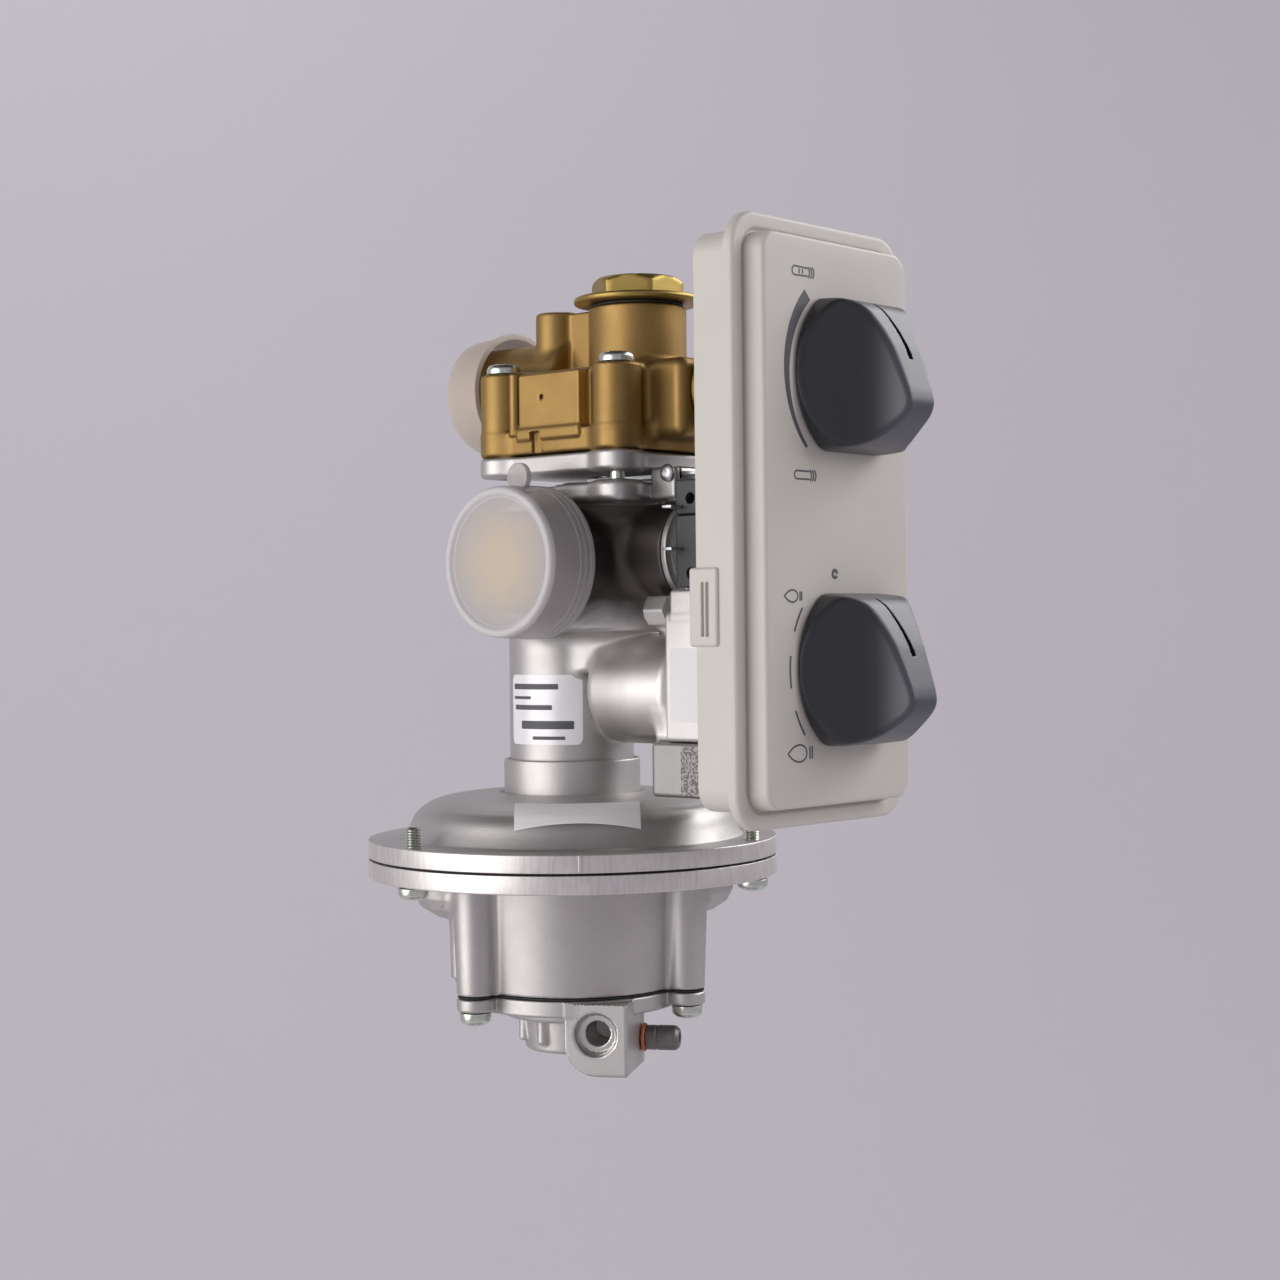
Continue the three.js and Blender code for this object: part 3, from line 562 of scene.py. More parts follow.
def casting_with_painted_light(name, colour, rough):
    """The gas body's casting, with painted shade and a painted dark reflection round the valve chamber and
    the magnet barrel, where the tone fades out upwards, downwards and towards the outlet, a painted highlight
    on the front round the tap, and painted shade on the front below the foot's height."""
    f = Finish(name, metallic=0.92, roughness=rough)
    x, y, z = f.axes()
    fine, coarse, cloud = f.noise(0.45, 2), f.noise(1.8, 3), f.noise(14, 4)
    drift = (cloud - 0.5) * 0.008
    high, low = (150.4 - DATUM) * MM, (121.5 - DATUM) * MM
    # painted shade and dark reflection: this mask darkens the band round the chamber and barrel, fading out
    # above, below and towards the outlet
    inside = f.ramp(z + drift, low - 0.003, low + 0.004) * f.ramp(z, high + 0.0006, high - 0.0006)
    inside = inside * f.ramp(y + x * 0.5 + drift, -0.018, -0.026)
    tone = f.mix(f.ramp(cloud, 0.35, 0.7) * 0.18, rgba(colour), rgba(colour, 0.6))
    tone = f.mix(f.ramp(coarse, 0.3, 0.7) * 0.10, tone, rgba(colour, 1.18))
    foot = (89.0 - DATUM) * MM
    # painted light on the front: a painted highlight round the tap above the foot's height, painted shade on
    # the foot below it
    painted_tap_light_and_shade = f.ramp(y + drift, -0.026, -0.034) * f.ramp(z, low, low - 0.003)
    tone = f.mix(painted_tap_light_and_shade * f.ramp(z, foot, foot + 0.001) * 0.8, tone, rgba(colour, 1.4))
    tone = f.mix(painted_tap_light_and_shade * f.ramp(z, foot + 0.001, foot) * 0.75, tone, rgba(colour, 0.45))
    # the chamber and barrel band is painted dark brown as shade and dark reflection
    f.set("Base Color", f.mix(inside * 0.93, tone, (0.075, 0.062, 0.055, 1)))
    f.set("Roughness", rough - 0.07 + 0.10 * cloud + 0.08 * coarse)
    f.relief(fine * 0.6 + coarse * 0.4, 0.10, 0.55)
    return f.material


def turned_metal(name, colour, rough, streak):
    """Metal cut on a lathe: noise on the distance from the upright axis and on the height makes fine
    rings in tone and relief."""
    f = Finish(name, metallic=0.95, roughness=rough)
    x, y, z = f.axes()
    rings = f.noise(streak, 3, 0.6, where=f.join((x * x + y * y) ** 0.5, z, 0.0))
    cloud = f.noise(9, 3)
    dull = f.ramp(rings, 0.35, 0.7) * 0.25 + f.ramp(cloud, 0.5, 0.75) * 0.15
    f.set("Base Color", f.mix(dull, rgba(colour), rgba(colour, 0.62)))
    f.set("Roughness", rough - 0.05 + 0.12 * rings + 0.06 * cloud)
    f.relief(rings, 0.03, 0.5)
    return f.material


def milled_rim(name, colour, rough):
    """A flange rim with short upright marks: noise on the angle round the axis, drawn out upwards."""
    f = Finish(name, metallic=0.95, roughness=rough)
    x, y, z = f.axes()
    angle = f.node("ShaderNodeMath", {"operation": "ARCTAN2"}, {0: y, 1: x})
    marks = f.noise(1.0, 3, 0.7, where=f.join(angle * 0.05, z * 0.10, 0.0))
    fine = f.noise(0.22, 2, 0.6, where=f.join(angle * 0.05, z * 0.04, 0.0))
    patch = f.noise(7, 3)
    tone = f.mix(f.ramp(marks, 0.45, 0.72) * 0.35, rgba(colour), rgba(colour, 0.5))
    f.set("Base Color", f.mix(f.ramp(patch, 0.52, 0.68) * 0.3, tone, rgba(colour, 1.25)))
    f.set("Roughness", rough - 0.08 + 0.16 * fine + 0.08 * patch)
    f.relief(fine * 0.5 + marks * 0.5, 0.05, 0.6)
    return f.material


def plated(name, colour, rough):
    """Zinc plate: bright, with a faint cloudy yellow to blue passivation and small dull spots."""
    f = Finish(name, metallic=1.0, roughness=rough)
    cloud = f.noise(2.5, 3)
    bluish = (colour[0] * 0.82, colour[1] * 0.95, colour[2] * 1.05)
    tone = f.mix(f.ramp(cloud, 0.35, 0.65), rgba(colour), rgba(bluish))
    f.set("Base Color", f.mix(f.ramp(f.noise(0.7, 2), 0.62, 0.75) * 0.4, tone, rgba(colour, 0.5)))
    f.set("Roughness", rough - 0.05 + 0.15 * cloud)
    f.relief(f.noise(0.3, 2), 0.02, 0.4)
    return f.material


def moulded(name, colour, rough, grain=0.5, depth=0.02, coat=0.0):
    """Moulded plastic or rubber: fine leathery grain, slow drift in tone, and a little dust."""
    f = Finish(name, roughness=rough, coat_weight=coat, coat_roughness=0.3)
    skin, cloud = f.noise(grain, 2), f.noise(22, 3)
    dust = f.ramp(f.noise(1.6, 3), 0.6, 0.8)
    tone = f.mix(f.ramp(cloud, 0.3, 0.7) * 0.16, rgba(colour), rgba(colour, 0.78))
    f.set("Base Color", f.mix(dust * 0.06, tone, rgba((0.6, 0.59, 0.57))))
    f.set("Roughness", rough - 0.05 + 0.10 * cloud + 0.06 * skin)
    f.relief(skin, depth, 0.5)
    return f.material


def slate_with_painted_ridge_highlight(name, colour, rough):
    """Slate plastic with a painted highlight along the knob's ridge: the light tone is held to a narrow band
    either side of the knob's middle and fades out towards the panel."""
    f = Finish(name, roughness=rough, coat_weight=0.25, coat_roughness=0.35)
    skin, cloud = f.noise(0.5, 2), f.noise(22, 3)
    x, y, z = f.axes()
    off = f.node("ShaderNodeMath", {"operation": "ABSOLUTE"}, {0: x - KNOB_X * MM})
    # painted highlight: a narrow band along the knob's ridge, fading out towards the panel
    ridge = f.ramp(off + (cloud - 0.5) * 0.001, 0.0086, 0.0058) * f.ramp(y, -0.0975, -0.1015)
    tone = f.mix(f.ramp(cloud, 0.3, 0.7) * 0.16, rgba(colour), rgba(colour, 0.78))
    # the ridge band's base colour is raised 3.4 times as a painted highlight
    f.set("Base Color", f.mix(ridge * 0.9, tone, rgba(colour, 3.4)))
    f.set("Roughness", rough - 0.05 + 0.10 * cloud + 0.06 * skin)
    f.relief(skin, 0.016, 0.5)
    return f.material


def milky(name, colour, alpha, warm=None, axis="X", centre=(0, 0), reach=0.017):
    """Thin polyethylene: cloudy, lets what is inside show softly, with faint drawn marks. warm is the
    tint that scattered light from the brass inside gives it, strongest round the cap's own axis."""
    f = Finish(name, roughness=0.38, alpha=alpha)
    cloud = f.noise(6, 3)
    tone = f.mix(f.ramp(cloud, 0.35, 0.7) * 0.25, rgba(colour), rgba(colour, 0.86))
    if warm:
        x, y, z = f.axes()
        across = (y if axis == "X" else x) - centre[0] * MM
        rise = z - (centre[1] - DATUM) * MM
        off = (across * across + rise * rise) ** 0.5
        tone = f.mix(f.ramp(off + (cloud - 0.5) * 0.006, reach, 0.005) * 0.85, tone, rgba(warm))
    f.set("Base Color", tone)
    f.set("Roughness", 0.30 + 0.15 * cloud)
    f.set("Alpha", alpha - 0.04 + 0.08 * cloud)
    f.relief(f.noise(1.2, 2), 0.03, 0.5)
    return f.material


def foil(name, colour):
    """Silvered label foil: smooth, with shallow waves where it was pressed on."""
    f = Finish(name, metallic=0.12, roughness=0.28)
    wave = f.noise(7, 2)
    f.set("Base Color", f.mix(f.ramp(wave, 0.4, 0.7) * 0.3, rgba(colour), rgba(colour, 0.85)))
    f.set("Roughness", 0.24 + 0.12 * wave)
    f.relief(wave, 0.15, 0.5)
    return f.material


def paper(name, colour):
    """Label paper: matt, slightly fibrous and unevenly white."""
    f = Finish(name, roughness=0.7)
    fibre = f.noise(0.4, 4, 0.7)
    f.set("Base Color", f.mix(f.ramp(fibre, 0.35, 0.7) * 0.12, rgba(colour), rgba(colour, 0.8)))
    f.set("Roughness", 0.62 + 0.12 * fibre)
    f.relief(fibre, 0.02, 0.4)
    return f.material


def speckled(name, pale, dark):
    """A label printed with random small squares: the place is snapped to a grid of 0.45 mm, and white
    noise picks dark or pale for each square."""
    f = Finish(name, roughness=0.6)
    x, y, z = (f.node("ShaderNodeMath", {"operation": "SNAP"}, {0: v, 1: 0.00045}) for v in f.axes())
    pick = f.node("ShaderNodeTexWhiteNoise", {"noise_dimensions": "3D"}, {"Vector": f.join(0.0, y, z)})
    f.set("Base Color", f.mix(f.ramp(pick, 0.52, 0.53) * 0.8, rgba(pale), rgba(dark)))
    f.set("Roughness", 0.55 + 0.1 * f.noise(0.5, 3))
    return f.material


def ink(name, colour):
    """Pad-printed ink: dark, satin, thin enough to look slightly uneven."""
    f = Finish(name, roughness=0.5)
    speckle = f.noise(0.3, 2)
    f.set("Base Color", f.mix(f.ramp(speckle, 0.4, 0.7) * 0.3, rgba(colour), rgba(colour, 1.35)))
    f.set("Roughness", 0.45 + 0.1 * speckle)
    return f.material


def make_finishes(colours):
    """All the materials of the valve, by the names that the pieces use."""
    c = colours
    FINISHES.update(
        casting=cast_metal("blasted_aluminium", c.aluminium, 0.44),
        # the gas body's finish has painted shade round the chamber and barrel and a painted highlight round
        # the tap
        gas_casting=casting_with_painted_light("aluminium_with_painted_light", c.aluminium, 0.44),
        casting_dark=cast_metal("dull_aluminium", tuple(0.8 * v for v in c.aluminium), 0.50),
        rim=milled_rim("turned_flange_rim", tuple(1.35 * v for v in c.aluminium), 0.40),
        machined=turned_metal("machined_aluminium", tuple(1.1 * v for v in c.aluminium), 0.26, 0.25),
        brass=cast_metal("blasted_brass", c.brass, 0.48, 0.5, 0.30),
        turned_brass=turned_metal("turned_brass_fittings", c.turned_brass, 0.34, 0.3),
        zinc=plated("passivated_zinc", c.zinc, 0.24),
        steel=turned_metal("bright_steel", (0.56, 0.57, 0.58), 0.26, 0.2),
        grey_steel=cast_metal("grey_plug_steel", (0.22, 0.21, 0.20), 0.42, 0.4, 0.2),
        rubber=moulded("nitrile_rubber", (0.025, 0.025, 0.027), 0.62, 0.35),
        orange=moulded("orange_silicone", (0.55, 0.16, 0.05), 0.5, 0.35),
        ivory=moulded("ivory_moulding", c.panel, 0.42, 0.45, 0.012, 0.06),
        # the knobs' slate finish carries a painted highlight along the ridge
        slate=slate_with_painted_ridge_highlight("slate_moulding", c.knob, 0.38),
        groove=moulded("pointer_groove", (0.006, 0.006, 0.007), 0.6),
        milky=milky("milky_cap", (0.66, 0.63, 0.61), 0.62, (0.80, 0.66, 0.50), "Y", (0, PORT_Z), 0.032),
        milky_outlet=milky("milky_outlet_cap", (0.60, 0.57, 0.56), 0.66, (0.83, 0.70, 0.52), "X",
                           (WATER_Y, OUTLET_Z)),
        milky_rim=milky("milky_cap_rim", (0.80, 0.78, 0.77), 0.72),
        pale=cast_metal("pale_blasted_block", (0.70, 0.68, 0.665), 0.52, 0.4, 0.1),
        dark=moulded("dark_grey_moulding", (0.045, 0.046, 0.052), 0.42),
        foil=foil("label_foil", (0.95, 0.94, 0.95)),
        paper=paper("label_paper", (0.90, 0.89, 0.88)),
        speckled=speckled("square_print", (0.42, 0.40, 0.38), (0.10, 0.095, 0.09)),
        ink=ink("printed_marks", (0.09, 0.095, 0.105)),
    )


def build(name, shape, body, finish, slot, replaces=(), **more):
    """Makes a piece with named finishes, and stops with an error if its mesh is empty."""
    finishes = [FINISHES[f] for f in (finish if isinstance(finish, tuple) else (finish,))]
    if shape.count == 0:
        raise RuntimeError(f"{name} has no surface")
    return make_mesh(name, shape, body, finishes, slot, replaces, **more)


def build_cast(name, field, low, high, cell, finish, slot, replaces=(), body="root", chosen=0):
    """Makes a piece from a distance field, with its normals from the field as well."""
    shape = Shape().cast(field, low, high, cell, chosen)
    return build(name, shape, body, finish, slot, replaces, field=field, recalculate=False)


# ---------------------------------------------------------------- pressure regulator


def top_housing_shape():
    """Turned dome with a flange below and a collar above, the hollow for the diaphragm, and an
    upright mark on the rim."""
    rows = [
        (42, 56.3, 0), (56, 56.3, 0.2), (56, 61, 0.45), (46.6, 61, 0.7), (44.8, 64.2, 1.4),
        (42.9, 68.4, 3.2), (37.5, 71.7, 4), (30, 72.9, 4), (20.2, 73.3, 0.5), (19.4, 72.5, 0.2),
        (18.7, 72.6, 0.2), (18.7, 82.3, 0.6), (17.4, 82.3, 0.2), (17.3, 76, 0), (13, 76, 0),
        (13, 70.2, 0), (33, 69.4, 0), (40, 66, 0), (42, 60, 0),
    ]
    shape = Shape()
    shape.turn(rows, steps=192, ring=True, finish=lambda r, t: int(r > 55.5 and t < 60.9))
    x, y = polar(1, 225)
    rows = [
        (0.2, 1.9, 0.1, -0.6, 0), (0.42, 2.1, 0.1, -0.6, 0.1), (0.42, 2.1, 0.1, 0.35, 0.15),
        (0.15, 1.8, 0.1, 0.35, 0),
    ]
    return shape.loft(rows, (56 * x, 56 * y, 58.8), (-y, x, 0), Z, (x, y, 0), 3, 1, 3)


def lower_housing_field(p):
    """Cup under the flange: a turned shoulder that stops short of the front, where the cup's own wall
    runs straight up, three screw bosses welded on, a vent boss, and the hollow above the cover."""
    a = math.radians(CUP_TURN)
    ahead = p[0] * math.cos(a) + p[1] * math.sin(a)
    heights = [20.5, 30, 38.2, 39.2, 40.6, 42.9, 46, 50.8]
    radii = [28.9, 29.9, 30.7, 34.5, 38.6, 42.2, 43.8, 44.8]
    shoulder = soft_max(spun(p, heights, radii, 20.5, 52.5, 0.5), ahead - 17.0, 9.0)
    cup = soft_min(shoulder, spun(p, [20.5, 50.8], [28.9, 31.2], 20.5, 52.5, 0.5), 0.8)
    bosses = []
    for angle in SCREW_ANGLES:
        x, y = polar(COVER_CIRCLE - 0.3, angle)
        bosses.append(rod(p, (x, y, 20.5), (x, y, 52), 5.1, 6.3, 0.5))
    x, y = polar(30.4, 131.5)
    vent = rod(p, (x, y, 22), (x, y, 42), 3.6, 3.9, 0.5)
    outside = weld(2.4, cup, *bosses, vent)
    hollow = np.maximum(spun(p, [19, 38.5, 41.5, 44.8, 50], [26, 26.2, 34, 40, 42], 15, 60, 0.1), ahead - 14)
    inner = spun(p, [19, 52], [26, 26.4], 15, 60, 0.1)
    bore = rod(p, (x, y, 19), (x, y, 24.8), 2.9, None, 0.1)
    return carve(0.4, outside, hollow, inner, bore)


def bottom_cover_field(p):
    """Cover plate with three ears, a stepped spring boss with ribs, and the block of the test port
    with its countersunk hole."""
    plate = rod(p, (0, 0, 15.2), (0, 0, 19.7), 28.6, None, 0.7)
    ears = []
    for angle in SCREW_ANGLES:
        x, y = polar(COVER_CIRCLE - 0.2, angle)
        ears.append(rod(p, (x, y, 16.2), (x, y, 19.7), 5.1, None, 0.7))
    step = rod(p, (0, 0, 12.2), (0, 0, 18), 19.5, 20.5, 0.9)
    boss = rod(p, (0, 0, 2.8), (0, 0, 17), 13.6, 15.0, 1.1)
    ribs = []
    for angle in (150, 186, 222, 258, 300, 340, 20, 60, 100):
        x, y = polar(14.4, angle)
        ribs.append(rod(p, (x, y, 5.4), (x, y, 17), 1.5, None, 0.8))
    a, b, z = swing(p, PORT_TURN)
    local = [a, b, z]
    face = block(local, (5, 3.6, 0), (28.2, 20.6, 24), 0.7)
    corner = rod(local, (0, 12.6, 9), (40, 12.6, 9), 9.0, None, 0.1)
    trimmed = soft_max(face, np.where((b < 12.6) & (z < 9), corner, -1.0), 0.3)
    flat_top = np.maximum(trimmed, z - 19.0)
    outside = weld(1.4, plate, *ears)
    outside = weld(1.2, outside, step)
    outside = weld(1.0, outside, boss, *ribs)
    outside = weld(0.8, outside, flat_top)
    hole = rod(local, (13, 12.1, 11), (34, 12.1, 11), 3.3, None, 0.1)
    sink = rod(local, (25.4, 12.1, 11), (29.2, 12.1, 11), 5.0, 6.0, 0.1)
    side = rod(local, (9, 14, 7.4), (9, 24, 7.4), 2.1, None, 0.1)
    spring = rod(p, (0, 0, 7), (0, 0, 21), 10.5, None, 0.1)
    return carve(0.35, outside, hole, sink, side, spring)


def port_face_finish(points):
    """Bare machined metal inside the countersink, casting elsewhere."""
    a, b, z = swing(list(points.T), PORT_TURN)
    ring = np.hypot(b - 12.1, z - 11)
    return ((ring < 6.35) & (a > 24.8)).astype(int)


def screw(node, shape):
    """A zinc-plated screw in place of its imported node."""
    return build(node + "_zinc", shape, "root", "zinc", "zinc_screws", [node])


def screw_shape(at, head_r, head, shank_r, length, grip):
    """Pan-head screw pointing up, with a recess under the head and a thread on its free end."""
    x, y, z = at
    shape = Shape()
    shape.turn([
        (0, -head + 1.5, 0), (1.3, -head + 1.3, 0.2), (1.5, -head + 0.05, 0.15), (head_r * 0.62, -head, 0.4),
        (head_r * 0.96, -head + 0.9, 0.8), (head_r, -0.9, 0.5), (head_r, 0, 0.15), (shank_r, 0, 0),
        (shank_r, 0.6, 0), (0, 0.6, 0),
    ], (x, y, z), Z, 40)
    turns = np.arange(grip, length - 0.6, 0.35)
    zigzag = [(shank_r - 0.28 * (i % 2), t, 0) for i, t in enumerate(turns)]
    rows = [(0, grip, 0), (shank_r, grip, 0)] + zigzag + [(shank_r - 0.5, length, 0.1), (0, length, 0)]
    shape.turn(rows, (x, y, z), Z, 24)
    return shape


# ---------------------------------------------------------------- gas section


def corner_plate(p, z0, z1, half, lug, k=1.0, fill=2.6):
    """Square plate with a round lug at each corner, the four lugs welded on with fillets."""
    plate = block(p, (-half, WATER_Y - 0.5 - half - 0.5, z0), (half, WATER_Y - 0.5 + half + 0.5, z1), k)
    lugs = [rod(p, (x, y, z0), (x, y, z1), lug, None, k) for x, y in CORNERS]
    return weld(fill, plate, *lugs)


def gas_body_field(p):
    """Neck, valve chamber, top flange, outlet and inlet stubs, magnet barrel, tap housing, foot and
    pivot lugs welded together, less their bores."""
    neck = rod(p, (0, 0, 76.3), (0, 0, 124), 17, None, 0.4)
    chamber = rod(p, (0, WATER_Y, 117), (0, WATER_Y, 152), 20, None, 1.5)
    below = rod(p, (0, WATER_Y, 106), (0, WATER_Y, 119), 11.6, None, 1.5)
    outlet = rod(p, (-8, WATER_Y, OUTLET_Z), (-27, WATER_Y, OUTLET_Z), 15.5, None, 0.8)
    inlet = rod(p, (8, 0, TAP_Z), (34, 0, TAP_Z), 14, None, 0.9)
    barrel = rod(p, (0, -20, BARREL_Z), (0, -44.5, BARREL_Z), 13.6, None, 0.5)
    tap = rod(p, (0, -17.5, TAP_Z), (0, -46.5, TAP_Z), 14.4, None, 3.2)
    bridge = block(p, (-4, -22, 90), (4, -6, 112), 2.5)
    foot = block(p, (-15, -71, 74.2), (9, -42, 88.2), 1.0)
    toe = block(p, (-15, -74.6, 75.8), (9, -66, 88.2), 0.8)
    rise = block(p, (-12, -46.5, 78), (8, -40.5, 97), 1.2)
    body = weld(3.0, neck, below, bridge)
    body = weld(5.5, body, chamber)
    body = weld(3.2, body, outlet, inlet, barrel)
    body = weld(2.6, body, tap, rise)
    body = weld(0.8, body, foot, toe)
    plate = block(p, (-24, -40, 150.8), (24, -16, 155.5), 1.3)
    lugs = [rod(p, (x, y, 150.8), (x, y, 155.5), 6.3, None, 1.3) for x, y in FRONT_CORNERS]
    crown = rod(p, (0, WATER_Y, 146), (0, WATER_Y, 155.5), 20, None, 1.0)
    flange = weld(2.6, plate, *lugs, crown)
    body = weld(1.6, body, flange)
    lugs = [block(p, (x, -48.6, 151), (x + 2.5, -40, 159.3), 1.0) for x in (-12, 9.5)]
    body = weld(0.8, body, *lugs)
    tools = [
        rod(p, (0, 0, 70), (0, 0, 88), 12, None, 0.1),
        rod(p, (0, 0, 91), (0, 0, 118), 12, None, 0.1),
        rod(p, (0, 0, 86), (0, 0, 93), 7.5, None, 0.1),
        rod(p, (0, WATER_Y, 110), (0, WATER_Y, 126), 9, None, 0.1),
        rod(p, (0, WATER_Y, 120), (0, WATER_Y, 160), 6, None, 0.1),
        rod(p, (0, WATER_Y, 130), (0, WATER_Y, 160), 9, None, 0.1),
        rod(p, (0, WATER_Y, 154), (0, WATER_Y, 160), 13, None, 0.1),
        rod(p, (0, WATER_Y, OUTLET_Z), (-30, WATER_Y, OUTLET_Z), 9.5, None, 0.1),
        rod(p, (-19.5, WATER_Y, OUTLET_Z), (-30, WATER_Y, OUTLET_Z), 12, None, 0.1),
        rod(p, (8, 0, TAP_Z), (36, 0, TAP_Z), 10, None, 0.1),
        rod(p, (0, -26, BARREL_Z), (0, -60, BARREL_Z), 9.5, None, 0.1),
        rod(p, (0, -20, BARREL_Z), (0, -28, BARREL_Z), 4, None, 0.1),
        rod(p, (KNOB_X, -25, POWER_Z), (KNOB_X, -60, POWER_Z), 7.5, None, 0.1),
        rod(p, (0, -5, TAP_Z), (0, -28, TAP_Z), 3, None, 0.1),
        rod(p, (-20, PIN_Y, PIN_Z), (20, PIN_Y, PIN_Z), 1.3, None, 0.1),
        rod(p, (-4, -60, 81.2), (-4, -80, 81.2), 2, None, 0.1),
    ]
    tools += [rod(p, (x, y, 145), (x, y, 160), 2.2, None, 0.1) for x, y in FRONT_CORNERS]
    return carve(0.4, body, *tools)


def tap_head_field(p):
    """Block of the tap head with a step along its top, a round post and the spindle's hole."""
    main = block(p, (-15, -64, 88.5), (21, -46.8, 121.6), 1.2)
    top = block(p, (-15, -62.4, 119), (21, -48.6, 127.4), 1.0)
    post = rod(p, (POST_X, -60, POST_Z), (POST_X, -74.6, POST_Z), 4, None, 0.4)
    body = weld(0.8, main, top, post)
    return carve(0.3, body, rod(p, (KNOB_X, -40, POWER_Z), (KNOB_X, -70, POWER_Z), 3.5, None, 0.1),
                 rod(p, (POST_X, -66, POST_Z), (POST_X, -80, POST_Z), 2, None, 0.1))


def switch_field(p):
    """Moulded switch case in two halves: a block with a parting line, two fixing holes and the
    plunger's hole."""
    case = block(p, (-15, -61, 127.8), (1, -51, 155.4), 0.6)
    seam = block(p, (-16, -62, 146.2), (2, -50, 146.6), 0.1)
    core = block(p, (-14.6, -60.6, 128), (0.6, -51.4, 155), 0.3)
    line = np.maximum(seam, -core)
    holes = [rod(p, (-20, -56, z), (5, -56, z), 1.4, None, 0.1) for z in (131.5, 150.5)]
    return carve(0.2, case, line, *holes, rod(p, (-7, -56, 145), (-7, -56, 160), 1.3, None, 0.1))


# ---------------------------------------------------------------- water section


def water_body_field(p):
    """Hot-pressed brass body: base rim, chamber with corner bosses, side pad with a dimple and an
    upright bead, two bosses with a web, the water port, the selector housing and the outlet stub."""
    rim = corner_plate(p, 164.1, 170.2, 24, 6.2, 0.7, 2.2)
    chamber = corner_plate(p, 168.5, 186, 20.6, 6.2, 0.9, 3.0)
    pad = block(p, (-24.4, -26.8, 170.5), (-19, -4.6, 185.0), 0.5)
    bead = rod(p, (-23.6, -2.6, 169), (-23.6, -2.6, 185.6), 1.5, None, 0.4)
    ledge = block(p, (-25.0, -27, 167.5), (-20, -4, 170.9), 0.9)
    big = rod(p, (0, FILTER_Y, 183), (0, FILTER_Y, 203), 13, None, 0.6)
    small = rod(p, (-4, 0, 183), (-4, 0, 203.7), 5.9, None, 0.9)
    web = block(p, (-5.6, -18, 182), (1, 0, 203.2), 0.6)
    port = rod(p, (0, -6, PORT_Z), (0, 30.5, PORT_Z), 13.2, None, 0.8)
    selector = block(p, (-11.5, -51, 167), (13.5, -34, 187.6), 3.0)
    shoulder = block(p, (-20, -38.5, 170), (17, -30, 186.0), 1.2)
    outlet = rod(p, (18, WATER_Y, 176), (38, WATER_Y, 176), 10.5, None, 0.8)
    body = weld(1.3, chamber, pad)
    body = weld(0.7, body, rim, bead, ledge)
    body = weld(3.0, body, port, outlet)
    body = weld(3.4, body, shoulder, selector)
    body = weld(1.6, body, big, small)
    body = weld(1.2, body, web)
    dimple = rod(p, (-30, -13.0, 178.8), (-22.6, -13.0, 178.8), 0.62, None, 0.1)
    notch = block(p, (-27, -12.6, 162), (-23.1, -9.2, 169.8), 0.3)
    tools = [
        dimple,
        notch,
        rod(p, (0, WATER_Y, 160), (0, WATER_Y, 168.6), 17.5, None, 0.1),
        rod(p, (0, WATER_Y, 165), (0, WATER_Y, 176), 2.4, None, 0.1),
        rod(p, (0, FILTER_Y, 176), (0, FILTER_Y, 206), 9.6, None, 0.1),
        rod(p, (0, -2, PORT_Z), (0, 35, PORT_Z), 9, None, 0.1),
        rod(p, (0, -20, 180), (0, 0, 180), 3.6, None, 0.1),
        rod(p, (KNOB_X, -30, SELECTOR_Z), (KNOB_X, -55, SELECTOR_Z), 5, None, 0.1),
        rod(p, (0, WATER_Y, 176), (40, WATER_Y, 176), 6.5, None, 0.1),
    ]
    tools += [rod(p, (x, y, 150), (x, y, 190), 2.3, None, 0.1) for x, y in CORNERS]
    return carve(0.35, body, *tools)


def diaphragm_cover_field(p):
    """Cast cover between the gas body and the brass, with corner lugs that stand lower than the
    flange and a shallow relief under its edge."""
    plate = corner_plate(p, 158.6, 163.5, 24, 6.4, 0.9, 2.2)
    tools = [
        rod(p, (0, WATER_Y, 161.4), (0, WATER_Y, 165), 17.5, None, 0.1),
        rod(p, (0, WATER_Y, 150), (0, WATER_Y, 170), 4.2, None, 0.1),
    ]
    tools += [rod(p, (x, y, 150), (x, y, 170), 2.3, None, 0.1) for x, y in CORNERS]
    return carve(0.3, plate, *tools)


# ---------------------------------------------------------------- panel and knobs


def panel_shape():
    """Moulded panel: rounded rectangles from the hollow back over the skirt, the rim, the channel
    and up to the raised front."""
    w, h = 34.5, 74.5
    rows = [
        (w - 6.8, h - 7, 3.5, -91, 0), (w - 6.8, h - 7, 3.5, -85.6, 0), (w - 2, h - 6.5, 4.5, -85.6, 0.8),
        (w - 2, h - 6.5, 4.5, -75.4, 0.3), (w, h - 4.5, 6, -75.4, 0.5), (w, h - 4.5, 6, -84.8, 0.4),
        (w, h, 9, -84.8, 0.6), (w, h, 9, -87.6, 1.9), (w - 3.6, h - 3.7, 6.4, -87.6, 0.6),
        (w - 4.2, h - 4.4, 5.8, -86.7, 0.3), (w - 4.7, h - 4.9, 5.2, -86.7, 0.3),
        (w - 4.8, h - 5, 5, -89, 0.5), (w - 5.0, h - 5.2, 5, -93, 1.5), (w - 9, h - 9, 3, -93, 0),
    ]
    return Shape().loft(rows, (PANEL_MID[0], 0, PANEL_MID[1]), X, Z, Y, 7, 0, 14)


def clip_field(p):
    """Pad with an upright slot on the side of the panel."""
    pad = block(p, (-36.9, -82.6, 113), (-33, -73.8, 132), 0.8)
    slot = block(p, (-40, -80.0, 115.5), (-34, -79.1, 128.5), 0.25)
    hook = block(p, (-40, -78.5, 115.5), (-34, -77.7, 128.5), 0.25)
    return carve(0.3, pad, slot, hook)


